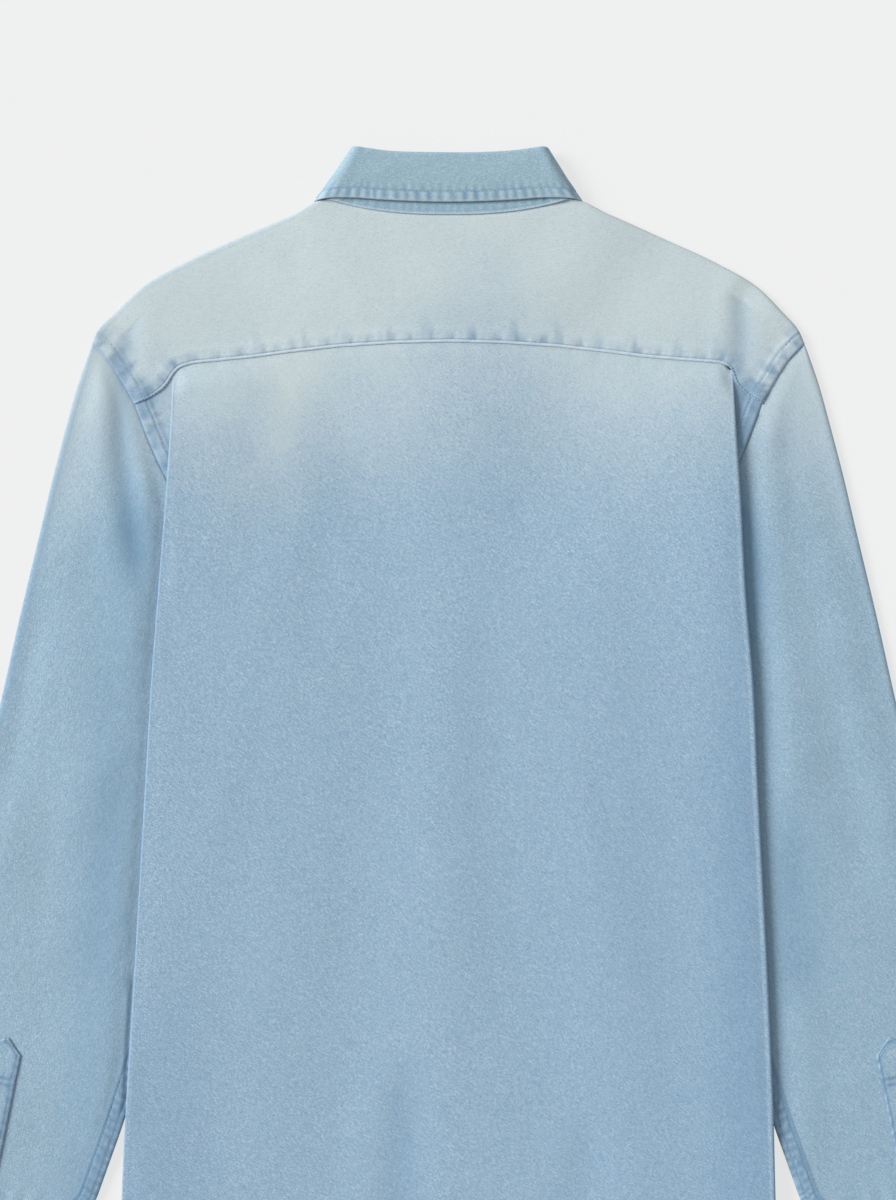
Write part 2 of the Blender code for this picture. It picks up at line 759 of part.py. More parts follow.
def band_rows(side):
    """A front band, flat, from the neckline to the hem."""
    level = BAND_LEVEL[side]
    rows = []
    for y in (BAND_TOP - SEAM_GAP, 200.0, 50.0, -100.0, -250.0, HEM_CENTRE):
        rows.append([(-BAND_HALF, y, level), (BAND_HALF, y, level)])
    return rows


def button(name, x, y, base, collection):
    """A four-hole button's blank: a disc with a rounded edge."""
    bpy.ops.mesh.primitive_cylinder_add(
        vertices=16, radius=BUTTON_D / 2 * MM, depth=BUTTON_T * MM,
        location=(x * MM, y * MM, (base + BUTTON_T / 2) * MM))
    made = bpy.context.object
    made.name = name
    made.data.name = name
    for owner in list(made.users_collection):
        owner.objects.unlink(made)
    collection.objects.link(made)
    made.data.materials.append(material("mat_" + name, DENIM["button"], 0.35))
    return made


# --------------------------------------------------------------------- build


def main():
    for old in list(bpy.data.objects):
        bpy.data.objects.remove(old, do_unlink=True)
    shirt = bpy.data.collections.new("denim_shirt")
    bpy.context.scene.collection.children.link(shirt)

    left, right = back_side(-1), back_side(1)
    rows = [a[::-1] + b[1:] for a, b in zip(left, right)]
    sheet("back", rows, CLOTH, "body", shirt)
    for side, name in ((-1, "front_left"), (1, "front_right")):
        sheet(name, front_side(side), CLOTH, "body", shirt)
    sheet("yoke", yoke_side(-1)[::-1] + yoke_side(1)[1:], CLOTH, "pale",
          shirt)
    for side, word in ((-1, "left"), (1, "right")):
        tube("sleeve_" + word, sleeve_side(side), CLOTH, "body", shirt)
        sheet("cuff_" + word, cuff_rows(side), CUFF_WALL, "body", shirt)
        sheet("placket_" + word, placket_rows(side), CLOTH, "body", shirt)
        sheet("band_" + word, band_rows(side), CLOTH, "body", shirt)
    sheet("collar_stand", stand_rows(), STAND_WALL, "collar", shirt)
    sheet("collar_leaf", leaf_rows(), LEAF_WALL, "collar", shirt)

    button("button_collar", 0.0, 321.0, 0.0, shirt)
    for number, y in enumerate(BUTTON_ROWS, 1):
        button("button_front_%d" % number, 0.0, y, 0.0, shirt)
    tilt = math.radians(CUFF_TILT)
    for side, word in ((-1, "left"), (1, "right")):
        x = CUFF_CENTRE[0] + math.sin(tilt) * CUFF_L / 2 + \
            math.cos(tilt) * 10.5
        y = CUFF_CENTRE[1] - math.cos(tilt) * CUFF_L / 2 + \
            math.sin(tilt) * 10.5
        button("button_cuff_" + word, side * x, y,
               4.95 + CUFF_WALL / 2 + SEAM_GAP, shirt)


main()
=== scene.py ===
"""Denim shirt laid flat with its back up: cloth, seams, stitches and light.

The cloth shells are worked out in millimetres from the same sizes and tables as
the CAD part, at a finer pitch, and get their laps, puckers and folds here. X
runs across the shirt, Y up to the collar, Z up from the surface it lies on. In
the functions x counts outward from the centre line, and side is -1 on the
wearer's left (-X) and +1 on the right.
"""
import math

import bpy
import numpy as np
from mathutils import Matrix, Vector
from mathutils.bvhtree import BVHTree


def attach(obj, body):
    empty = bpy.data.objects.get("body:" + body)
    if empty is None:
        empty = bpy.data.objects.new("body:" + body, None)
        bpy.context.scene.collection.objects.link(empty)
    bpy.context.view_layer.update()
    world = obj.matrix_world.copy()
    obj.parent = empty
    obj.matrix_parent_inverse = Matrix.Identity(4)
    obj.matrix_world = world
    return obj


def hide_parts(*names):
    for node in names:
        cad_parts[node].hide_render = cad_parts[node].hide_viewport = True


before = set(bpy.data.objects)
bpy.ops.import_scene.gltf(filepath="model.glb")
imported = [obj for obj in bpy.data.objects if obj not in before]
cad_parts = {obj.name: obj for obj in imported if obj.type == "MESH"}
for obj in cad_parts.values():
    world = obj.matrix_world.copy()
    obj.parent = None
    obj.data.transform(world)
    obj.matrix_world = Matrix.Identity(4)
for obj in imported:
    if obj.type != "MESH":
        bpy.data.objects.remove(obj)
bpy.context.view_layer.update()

# --------------------------------------------------------------- sizes, mm
MM = 0.001
CLOTH = 1.1
LEAF_WALL = 1.4
STAND_WALL = 1.6
CUFF_WALL = 1.6
LAYER = 1.5
FLOOR_PLY = CLOTH / 2
SLEEVE_TOP = 3.75
SLEEVE_LIFT = 3.0
TOP_LIFT = 1.3
BACK_REST = 5.05
FOLD_RADIUS = 0.75
CREASE_RADIUS = {-1: 1.5, 1: 2.0}
FOLD_TOP = 259.4
RAMP_START = 12.0
RAMP = 40.0
PANEL_HALF = 286.0
HEM_CENTRE = -417.5
HEM_RISE = 75.5
HEM_FLAT = 130.0
BAND_HALF = 17.5
BAND_TOP = 306.0
BAND_LEVEL = {-1: 3.55, 1: 5.05}
COLLAR_LIFT = 3.4
STAND_END = {-1: 3.95, 1: 5.95}
SEAM_LEVEL = 4.3
UNDERARM = 108.2
CUFF_W = 118.0
CUFF_L = 64.0
CUFF_TILT = 16.5
CUFF_CENTRE = (322.0, -321.5)
PLACKET_W = 23.4
PLACKET_TILT = 11.6
PLACKET_TIP = (308.9, -205.2)
PLACKET_POINT = 10.5
ARM_BAND = 8.7         # armhole edge to its row of stitches
YOKE_STITCH = 1.9      # yoke's edge to its row of stitches
LEAF_STITCH = 7.0      # leaf's edge to its row of stitches
STITCH = 3.1           # stitch pitch


def table(columns, *rows):
    """Rows of numbers under named columns."""
    names = columns.split()
    return [dict(zip(names, row)) for row in rows]


OUTER_EDGE = table("y x", (381.2, 86.0), (370.5, 115.0), (353.2, 152.0),
                   (336.4, 188.3), (319.6, 216.8), (303.0, 233.4),
                   (289.5, 245.2), (280.5, 249.3), (269.2, 253.4),
                   (252.4, 259.4), (218.8, 268.4), (185.2, 277.2),
                   (151.6, 284.9), (118.0, 293.0), (84.4, 301.0),
                   (50.8, 308.4), (34.0, 312.2), (-60.0, 333.9),
                   (-160.0, 357.0), (-250.0, 377.8), (-283.0, 385.0),
                   (-304.7, 378.6))
INNER_EDGE = table("y x", (107.5, 124.3), (60.0, 136.5), (0.0, 151.0),
                   (-100.0, 177.0), (-200.0, 206.0), (-269.9, 228.4),
                   (-323.5, 247.6), (-338.3, 265.4))
CREASE = table("y left right", (259.4, 192.7, 199.3), (227.0, 194.1, 201.1),
               (171.2, 197.9, 204.9), (105.4, 203.2, 208.0),
               (42.4, 208.1, 213.7), (-31.9, 212.3, 216.8),
               (-153.7, 219.3, 223.2), (-248.9, 225.3, 227.3),
               (-311.9, 228.4, 228.7), (-417.5, 231.5, 231.5))
TUCK = table("y x", (259.4, 192.7), (108.2, 121.3), (-342.0, 167.5))
ARMHOLE = table("x y", (247.8, 280.0), (238.5, 270.0), (230.0, 256.5),
                (219.5, 238.5), (214.5, 225.0), (209.0, 211.0),
                (202.0, 195.0), (188.0, 170.0), (170.0, 147.0),
                (147.0, 124.0), (121.3, 108.2))
YOKE = table("x y top_x top_y",
             (0.0, 281.9, 0.0, 370.7), (38.0, 281.0, 26.0, 371.3),
             (76.0, 278.6, 50.0, 373.6), (110.0, 274.8, 70.0, 377.4),
             (137.0, 271.1, 86.0, 381.2), (163.0, 268.3, 115.0, 370.5),
             (180.0, 266.3, 152.0, 353.2), (190.0, 262.0, 188.3, 336.4),
             (196.0, 253.5, 216.8, 319.6), (204.0, 246.0, 233.4, 303.0),
             (211.5, 241.8, 245.2, 289.5), (219.5, 238.5, 249.3, 280.5))
NECK_STATION = 4       # yoke station at the side of the neck
# The yoke's lower edge, which turns down over the folded side of the back
SEAM_ROWS = {-1: ((0.0, 281.9), (38.0, 281.0), (76.0, 278.6), (110.0, 274.8),
                  (137.0, 271.1), (164.7, 268.3), (178.7, 266.9),
                  (188.3, 264.0), (192.5, 259.4), (195.2, 254.5),
                  (199.2, 249.4), (206.4, 244.1), (213.0, 240.9),
                  (219.5, 238.5)),
             1: ((0.0, 281.9), (38.0, 281.0), (76.0, 278.6), (110.0, 274.8),
                 (137.0, 271.4), (163.0, 269.2), (176.2, 268.3),
                 (191.5, 267.0), (197.6, 264.0), (199.6, 259.4),
                 (200.6, 255.0), (203.4, 250.3), (208.4, 246.2),
                 (214.2, 242.1), (219.5, 238.5))}
STRIP_NECK = (74.0, 350.0)
FRONT_NECK = table("x y", (17.8, 306.6), (21.0, 307.9), (32.0, 311.3),
                   (45.0, 316.7), (57.0, 324.4), (66.0, 333.0),
                   (71.5, 341.0), (74.0, 349.7))
COLLAR = table("name top_x top_y edge_x edge_y edge_z turn",
               ("centre back", 0.0, 411.0, 0.0, 379.7, 11.2, 90),
               ("back 1", 26.0, 411.3, 26.0, 380.2, 11.2, 90),
               ("back 2", 45.0, 412.6, 50.0, 381.4, 11.3, 90),
               ("back 3", 55.5, 414.4, 70.0, 382.7, 11.4, 90),
               ("side 1", 60.0, 414.6, 86.0, 382.2, 11.2, 60),
               ("side 2", 61.5, 413.5, 94.0, 380.4, 7.2, 0),
               ("side 3", 60.5, 410.0, 94.0, 379.0, 1.5, -60),
               ("side 4", 58.0, 401.0, 91.0, 365.0, 0.72, -90),
               ("side 5", 54.0, 388.0, 82.0, 344.0, 0.72, -90),
               ("front 1", 48.0, 371.5, 75.0, 325.0, 0.72, -90),
               ("front 2", 35.0, 352.0, 64.0, 299.0, 0.72, -90),
               ("front 3", 16.0, 339.0, 56.0, 281.0, 0.72, -90),
               ("front end", 5.0, 336.5, 50.0, 268.0, 0.72, -90))
# How far the leaf's roll swells outward at the corners of the neck
BELLY = {"back 2": 2.0, "back 3": 5.0, "side 1": 6.5, "side 2": 6.5,
         "side 3": 5.5, "side 4": 3.0, "side 5": 1.0}
STAND_TAB = (-17.0, 334.0)
BUTTON_ROWS = (252.0, 158.0, 64.0, -30.0, -124.0, -218.0)

# Heights between which the wash runs from pale to full blue
FADE = table("x pale blue", (-330.0, 300.0, 92.0), (-265.0, 308.0, 104.0),
             (-244.0, 288.0, 138.0), (-184.0, 318.0, 134.0),
             (-139.0, 318.0, 116.0), (-114.0, 288.0, 122.0),
             (-90.0, 294.0, 150.0), (-62.0, 322.0, 134.0),
             (-34.0, 342.0, 128.0), (0.0, 385.0, 132.0),
             (36.0, 392.0, 148.0), (64.0, 352.0, 146.0),
             (92.0, 330.0, 140.0), (120.0, 325.0, 134.0),
             (176.0, 330.0, 142.0), (210.0, 332.0, 138.0),
             (250.0, 306.0, 126.0), (330.0, 290.0, 104.0))

# Soft folds: a line of points, how deep and how wide, and how much more blue:
# deeper blue in the hollows together with painted shade
FOLDS = [
    # left sleeve, from the shoulder down beside the body
    (((-231.0, 312.0), (-228.0, 206.0), (-220.0, 150.0), (-213.0, 112.0),
      (-213.0, 86.0)), 2.0, 8.0, 0.6),
    (((-219.0, 10.0), (-238.0, -75.0), (-247.0, -185.0)), 0.9, 15.0, 0.2),
    (((-286.0, 120.0), (-300.0, 20.0), (-322.0, -80.0)), 0.7, 16.0, 0.0),
    # right sleeve
    (((236.0, 262.0), (240.0, 196.0), (238.0, 130.0)), 0.7, 10.0, 0.1),
    (((262.0, 60.0), (284.0, -40.0), (300.0, -130.0)), 0.8, 15.0, 0.0),
    (((240.0, -30.0), (242.0, -120.0), (252.0, -200.0)), 0.5, 13.0, 0.45),
    # yoke
    (((-207.0, 334.0), (-219.0, 312.0), (-225.0, 293.0), (-222.0, 262.0)),
     0.9, 6.0, 0.42),
    (((204.0, 334.0), (206.0, 290.0), (205.0, 250.0)), 1.0, 7.0, 0.45),
    (((-120.0, 352.0), (-96.0, 325.0), (-60.0, 306.0)), 0.5, 13.0, 0.0),
    (((134.0, 340.0), (118.0, 318.0), (104.0, 296.0)), 0.2, 15.0, 0.0),
    # back
    (((-83.0, 176.0), (-104.0, 66.0), (-125.0, -74.0), (-165.0, -170.0)),
     0.9, 17.0, 0.05),
    (((22.0, 118.0), (30.0, -60.0), (38.0, -250.0)), 0.7, 20.0, 0.04),
    (((106.0, 36.0), (140.0, -90.0), (182.0, -214.0)), 0.85, 18.0, 0.08),
    (((-150.0, 238.0), (-128.0, 190.0), (-118.0, 130.0)), 0.55, 14.0, 0.0),
    (((-28.0, -210.0), (-30.0, -280.0), (-38.0, -392.0)), 0.9, 14.0, 0.3),
    (((104.0, -250.0), (96.0, -320.0), (100.0, -398.0)), 0.8, 15.0, 0.05),
]

# ------------------------------------------------------------ small helpers


def ease(t):
    """0 to 1 with level ends."""
    t = np.clip(t, 0.0, 1.0)
    return t * t * (3.0 - 2.0 * t)


def mix(a, b, t):
    return a + (b - a) * t


def columns_of(rows, *names):
    return np.array([[r[n] for n in names] for r in rows], float)


def averaged(values, reach):
    """Gaussian running mean down axis 0, over reach samples, ends kept."""
    values = np.asarray(values, float)
    n = int(3 * reach) + 1
    n = min(n, len(values) - 1)
    kernel = np.exp(-0.5 * (np.arange(-n, n + 1) / reach) ** 2)
    kernel /= kernel.sum()
    flat = values.reshape(len(values), -1)
    head = 2 * flat[0] - flat[n:0:-1]
    tail = 2 * flat[-1] - flat[-2:-n - 2:-1]
    padded = np.concatenate([head, flat, tail])
    out = np.stack([np.convolve(padded[:, k], kernel, "valid")
                    for k in range(flat.shape[1])], 1)
    return out.reshape(values.shape)


def reader(rows, key, column, spread=0.0):
    """A smoothed function of one column by another."""
    data = columns_of(rows, key, column)
    data = data[np.argsort(data[:, 0])]
    grid = np.arange(data[0, 0], data[-1, 0] + 0.5, 1.0)
    value = np.interp(grid, data[:, 0], data[:, 1])
    if spread:
        value = averaged(value, spread)
    low = (value[1] - value[0]) if spread else 0.0
    high = (value[-1] - value[-2]) if spread else 0.0

    def at(q):
        q = np.asarray(q, float)
        out = np.interp(q, grid, value)
        return out + np.minimum(q - grid[0], 0) * low + np.maximum(
            q - grid[-1], 0) * high
    return at


class Line:
    """A smoothed line in plan, with points by share and distances to it."""

    def __init__(self, points, spread=0.0, step=1.0):
        p = np.asarray(points, float)
        gone = np.concatenate(
            [[0], np.cumsum(np.linalg.norm(np.diff(p, axis=0), axis=1))])
        n = max(3, int(gone[-1] / step) + 1)
        t = np.linspace(0, gone[-1], n)
        q = np.stack([np.interp(t, gone, p[:, k])
                      for k in range(p.shape[1])], 1)
        if spread:
            q = averaged(q, spread / step)
        self.p = q
        self.s = np.concatenate(
            [[0], np.cumsum(np.linalg.norm(np.diff(q, axis=0), axis=1))])
        self.length = self.s[-1]

    def at(self, share):
        s = np.asarray(share, float) * self.length
        return np.stack([np.interp(s, self.s, self.p[:, k])
                         for k in range(self.p.shape[1])], -1)

    def normal(self, share):
        """Unit normal on the right-hand side of the way the line runs."""
        a, b = self.at(np.clip(share - 0.004, 0, 1)), self.at(
            np.clip(share + 0.004, 0, 1))
        d = b - a
        d /= np.linalg.norm(d, axis=-1, keepdims=True)
        return np.stack([d[..., 1], -d[..., 0]], -1)

    def near(self, x, y):
        """Distance (positive on the right-hand side) and length along."""
        shape = np.broadcast(x, y).shape
        px = np.broadcast_to(x, shape).ravel()
        py = np.broadcast_to(y, shape).ravel()
        away, along = np.empty(px.size), np.empty(px.size)
        a, b = self.p[:-1, :2], self.p[1:, :2]
        d = b - a
        long2 = (d ** 2).sum(1)
        for k in range(0, px.size, 4000):
            part = slice(k, k + 4000)
            rx = px[part, None] - a[None, :, 0]
            ry = py[part, None] - a[None, :, 1]
            t = np.clip((rx * d[:, 0] + ry * d[:, 1]) / long2, 0, 1)
            ex, ey = rx - t * d[:, 0], ry - t * d[:, 1]
            far = ex ** 2 + ey ** 2
            best = far.argmin(1)
            row = np.arange(len(best))
            cross = d[best, 0] * ry[row, best] - d[best, 1] * rx[row, best]
            away[part] = np.sqrt(far[row, best]) * -np.sign(cross)
            along[part] = self.s[best] + t[row, best] * np.sqrt(long2[best])
        return away.reshape(shape), along.reshape(shape)


def through(points, at):
    """Smooth curve through rows of points, read at fractional rows."""
    p = np.asarray(points, float)
    n = len(p)
    slope = np.empty_like(p)
    gap = np.linalg.norm((p[1:] - p[:-1]).reshape(n - 1, -1), axis=1)
    gap = np.maximum(gap, 1e-6).reshape((-1,) + (1,) * (p.ndim - 1))
    rate = (p[1:] - p[:-1]) / gap
    slope[1:-1] = (rate[:-1] * gap[1:] + rate[1:] * gap[:-1]) / (
        gap[1:] + gap[:-1])
    slope[0], slope[-1] = rate[0], rate[-1]
    at = np.asarray(at, float)
    i = np.clip(at.astype(int), 0, n - 2)
    t = (at - i).reshape((-1,) + (1,) * (p.ndim - 1))
    h = gap[i]
    return ((2 * t**3 - 3 * t**2 + 1) * p[i] + (t**3 - 2 * t**2 + t) * h
            * slope[i] + (-2 * t**3 + 3 * t**2) * p[i + 1]
            + (t**3 - t**2) * h * slope[i + 1])


def rounded(p, per=4):
    """The polygons down axis 1 with their corners rounded, ends kept."""
    mids = (p[:, :-1] + p[:, 1:]) / 2
    out = [p[:, :1]]
    for i in range(1, p.shape[1] - 1):
        a, b, c = mids[:, i - 1], p[:, i], mids[:, i]
        for k in range(per):
            s = k / per
            out.append(((1 - s)**2 * a + 2 * s * (1 - s) * b
                        + s * s * c)[:, None])
    out += [mids[:, -1:], p[:, -1:]]
    return np.concatenate(out, 1)


def stack(*parts):
    """Points from x, y and z, each a number, a row or a whole grid."""
    shape = np.broadcast(*parts).shape
    return np.stack([np.broadcast_to(q, shape) for q in parts], -1)


def wave(along, pitch, seed, least=0.35):
    """Uneven crests (to 1) and hollows (to -1), about pitch from crest to
    crest."""
    rng = np.random.default_rng(seed)
    n = 1200
    at = np.cumsum(pitch / 2 * (0.6 + 0.8 * rng.random(n))) - 60.0
    value = np.where(np.arange(n) % 2, 1.0, -1.0) * (
        least + (1 - least) * rng.random(n))
    i = np.clip(np.searchsorted(at, along) - 1, 0, n - 2)
    t = ease((along - at[i]) / (at[i + 1] - at[i]))
    return mix(value[i], value[i + 1], t)


def swell(x, y, seed, pitch=120.0):
    """Broad uneven swell of the cloth, about -1 to 1."""
    rng = np.random.default_rng(seed)
    total = 0.0
    for _ in range(7):
        turn = rng.random() * math.pi
        size = pitch * (0.6 + 0.9 * rng.random())
        phase = rng.random() * 2 * math.pi
        total = total + np.sin((x * math.cos(turn) + y * math.sin(turn))
                               * 2 * math.pi / size + phase)
    return total / 3.2


# ------------------------------------------------------ heights of the plies
CREASE_AT = {-1: reader(CREASE, "y", "left", 14.0),
             1: reader(CREASE, "y", "right", 14.0)}
TUCK_AT = reader(TUCK, "y", "x", 0.01)
SEAM_LINE = {}


def crease_x(y, side):
    return CREASE_AT[side](np.minimum(y, FOLD_TOP))


def tuck_x(y):
    y = np.asarray(y, float)
    return np.where(y > UNDERARM,
                    121.3 + (y - UNDERARM) * (192.7 - 121.3) / (259.4 - 108.2),
                    121.3 + (UNDERARM - y) * (167.5 - 121.3) / (108.2 + 342.0))


def ramp(x, y, side):
    return 1.0 - ease((x - crease_x(y, side) - RAMP_START) / RAMP)


def landed(y):
    return ease((y + 325.0) / 55.0)


def sleeve_low(x, y, side):
    fold_on = 1.0 - ease((y - 225.0) / 33.0)
    return FLOOR_PLY + SLEEVE_LIFT * ramp(x, y, side) * fold_on * landed(y)


def sleeve_high(x, y, side):
    return SLEEVE_TOP + TOP_LIFT * ramp(x, y, side) * landed(y)


def front_level(x, y, side):
    placket = (BAND_LEVEL[side] - FLOOR_PLY) * (
        1.0 - ease((x - BAND_HALF) / 55.0))
    collar = COLLAR_LIFT * ease((y - 236.0) / 28.0) * (
        1.0 - ease((x - 97.0) / 45.0))
    return FLOOR_PLY + np.maximum(placket, collar)


def crease_radius(y, side):
    return FOLD_RADIUS + (CREASE_RADIUS[side] - FOLD_RADIUS) * ease(
        (250.0 - y) / 40.0)


def back_level(x, y, row_y, side):
    from_neck = np.hypot(x / 1.25, y - 385.0)
    neck = 2.95 * (1.0 - ease((from_neck - 72.0) / 60.0))
    placket = 1.8 * (1.0 - ease(x / 85.0))
    rest = BACK_REST + np.maximum(neck, placket)
    above = rest - TOP_LIFT * (1.0 - ramp(x, y, side))
    grown = ease((FOLD_TOP - row_y) / 18.0)
    edge = crease_x(row_y, side)
    rise = 2 * LAYER * grown * ease((x - tuck_x(row_y) + 100.0) / 95.0)
    roll = (2 * crease_radius(row_y, side) - LAYER) * grown * ease(
        (x - edge + 84.0) / 82.0)
    return np.where(row_y > FOLD_TOP, above, rest + rise + roll)


def hem_y(along):
    return HEM_CENTRE + HEM_RISE * ease(
        (along - HEM_FLAT) / (PANEL_HALF - HEM_FLAT))


def folded(x, y, side):
    """Height of the soft folds at a place, hollows below 0, and how much more
    blue it is there: deeper blue with painted shade in the hollows."""
    total = np.zeros(np.broadcast(x, y).shape)
    bluer = np.zeros(total.shape)
    for points, depth, width, blue in FOLD_LINES:
        if (points.p[:, 0] * side).max() < -150.0:
            continue
        away, along = points.near(x * side, y)
        share = along / points.length
        end = np.hypot(np.minimum(share, 0.25) - 0.25,
                       np.maximum(share, 0.72) - 0.72) / 0.28
        beyond = 1.0 - ease(end)
        wide = width * (0.75 + 0.5 * share)
        hollow = -depth * np.exp(-(away / wide) ** 2)
        ridge = 0.42 * depth * (
            np.exp(-((away - 2.0 * wide) / (1.1 * wide)) ** 2)
            + 0.5 * np.exp(-((away + 2.1 * wide) / (1.2 * wide)) ** 2))
        total = total + (hollow + ridge) * beyond
        bluer = bluer + blue * beyond * np.exp(-(away / (1.25 * wide)) ** 2)
    return total, bluer


FOLD_LINES = [(Line(points, 10.0, 2.0), depth, width, blue)
              for points, depth, width, blue in FOLDS]

# ------------------------------------------------------------- seams in plan
ARM = Line(columns_of(ARMHOLE, "x", "y"), 5.0)
SEAM = {side: Line(rows, 1.7, 0.5) for side, rows in SEAM_ROWS.items()}
STRIP_END = columns_of(ARMHOLE, "x", "y")[2]
STRIP = Line([STRIP_NECK, STRIP_END], 0.0)
SHOULDER = Line(columns_of([r for r in OUTER_EDGE if r["y"] >= 280.0],
                           "x", "y"), 7.0)
SLEEVE_OUT = Line(columns_of([r for r in OUTER_EDGE if r["y"] <= 281.0],
                             "x", "y"), 9.0)
SLEEVE_IN = Line(columns_of(INNER_EDGE, "x", "y") + [1.2, 0.0], 5.0)


def seam_y(x, side):
    """Height of the yoke's seam, by the distance from the centre."""
    p = SEAM[side].p
    order = np.argsort(p[:, 0])
    return np.interp(x, p[order, 0], p[order, 1])


def armhole_band(x, y, side=0):
    """Lift, wear and depth of colour of the body's edge at the armhole."""
    away, along = ARM.near(x, y)
    d = np.abs(away)
    lift = 0.8 * (1.0 - ease((d - 8.6) / 4.5))
    lift -= 0.8 * np.exp(-(d / 0.7) ** 2)
    lift -= 0.50 * np.exp(-((d - ARM_BAND) / 0.8) ** 2)
    lift += 0.10 * np.exp(-((d - ARM_BAND + 2.0) / 0.9) ** 2)
    crest = 0.75 * wave(along + 0.35 * d, 13.0, 41 + side) + 0.35 * wave(
        along - 0.4 * d, 6.5, 48 + side)
    inside = np.clip(1.0 - ease((d - 5.5) / 4.5), 0, 1) * ease(d / 1.4)
    beyond = np.exp(-((d - 11.5) / 4.0) ** 2)
    lift += 0.40 * crest * inside + 0.26 * wave(
        along, 8.5, 43 + side) * beyond
    wear_and_light = 0.9 * np.clip(crest, 0, 1) * inside + 0.3 * np.exp(
        -((d - 1.2) / 0.7) ** 2) + 0.15 * np.exp(
            -((d - ARM_BAND + 1.5) / 0.7) ** 2)
    depth = 1.2 * np.clip(-crest, 0, 1) * inside + 0.22 * inside
    # painted shade along the edge at the seam, heavier on the left, where the
    # edge faces the light and would glare
    depth += (0.9 if side == 0 else 0.35) * np.exp(-(d / 0.9) ** 2)
    depth += 1.0 * np.exp(-((d - ARM_BAND) / 0.75) ** 2) * (
        0.7 + 0.3 * wave(along, 3.0, 44))
    depth += 0.6 * np.clip(wave(along, 11.0, 45 + side), 0, 1) * np.exp(
        -((d - 12.0) / 4.0) ** 2)
    return lift, wear_and_light, depth


def yoke_band(x, y, side):
    """The same at the yoke's lower edge."""
    away, along = SEAM[side].near(x, y)
    d = np.abs(away)
    lift = 0.42 * (1.0 - ease((d - 7.5) / 5.0))
    lift -= 0.45 * np.exp(-(d / 0.5) ** 2)
    lift -= 0.30 * np.exp(-((d - YOKE_STITCH) / 0.5) ** 2)
    run = along * np.where(side > 0, 1.0, -1.0) + 400.0
    crest = wave(run + 0.15 * d, 14.0, 51)
    fine = wave(run - 0.1 * d, 5.5, 54)
    tall = 8.0 + 12.0 * np.clip(wave(run, 30.0, 52), 0, 1)
    inside = (1.0 - ease((d - 0.3 * tall) / (0.9 * tall))) * ease(d / 1.5)
    lift += (0.26 * crest + 0.10 * fine) * inside
    wear_and_light = (0.5 * np.clip(crest, 0, 1) + 0.35 * np.clip(fine, 0, 1)) \
        * inside + 1.3 * np.exp(-((d - 0.75) / 0.7) ** 2)
    depth = (0.85 * np.clip(-crest, 0, 1) ** 1.2
             + 0.4 * np.clip(-fine, 0, 1)) * inside * ease((d - 1.6) / 0.8)
    depth += 0.7 * np.exp(-((d - YOKE_STITCH - 0.2) / 0.5) ** 2)
    beyond = ease((x - 165.0) / 35.0)
    depth += 0.28 * beyond * (1.0 - ease((d - 3.0) / 11.0))
    # on the right, past the corner, the edge's paleness is cut back and a
    # painted shadow laid along it, where the folded edge shades the seam
    if side > 0:
        down = ease((x - 193.0) / 6.0)
        wear_and_light = wear_and_light * (1.0 - 0.85 * down)
        depth += 0.7 * down * np.exp(-(d / 1.6) ** 2)
    return lift, wear_and_light, depth


def fade_at(x, y):
    """1 where the wash is palest, by place on the shirt (x signed)."""
    data = columns_of(FADE, "x", "pale", "blue")
    wander = 5.0 * swell(x, y, 61, 90.0) + 2.5 * swell(x, y, 62, 34.0)
    pale = np.interp(x, data[:, 0], data[:, 1])
    blue = np.interp(x, data[:, 0], data[:, 2])
    value = ease((y + wander - blue) / (pale - blue))
    streak, _ = FADE_STREAK.near(x, y)
    value = value + 0.12 * np.exp(-(streak / 13.0) ** 2) * ease(
        (y - 150.0) / 40.0)
    return np.clip(value * (0.97 + 0.04 * swell(x, y, 63, 60.0)), 0, 1)


FADE_STREAK = Line(((-108.0, 262.0), (-118.0, 225.0), (-140.0, 170.0)), 8.0)

# ------------------------------------------------------------- mesh building


class Grid:
    """Rows and columns of points in mm, and how each point is coloured."""

    def __init__(self, points, wear_and_light=0.0, depth=0.0, fade=None, turned=False):
        self.points = np.asarray(points, float)
        self.turned = turned       # wound the other way, as mirrored ones are
        shape = self.points.shape[:2]
        # the next two masks: rubbed paleness with, at some folds and edges,
        # painted light; and deeper dye with, at many folds and edges, painted
        # shade
        self.wear_and_light = np.clip(np.broadcast_to(wear_and_light, shape), 0, 1)
        self.depth = np.clip(np.broadcast_to(depth, shape), 0, 1)
        if fade is None:
            fade = fade_at(self.points[..., 0], self.points[..., 1])
        self.fade = np.clip(np.broadcast_to(fade, shape), 0, 1)


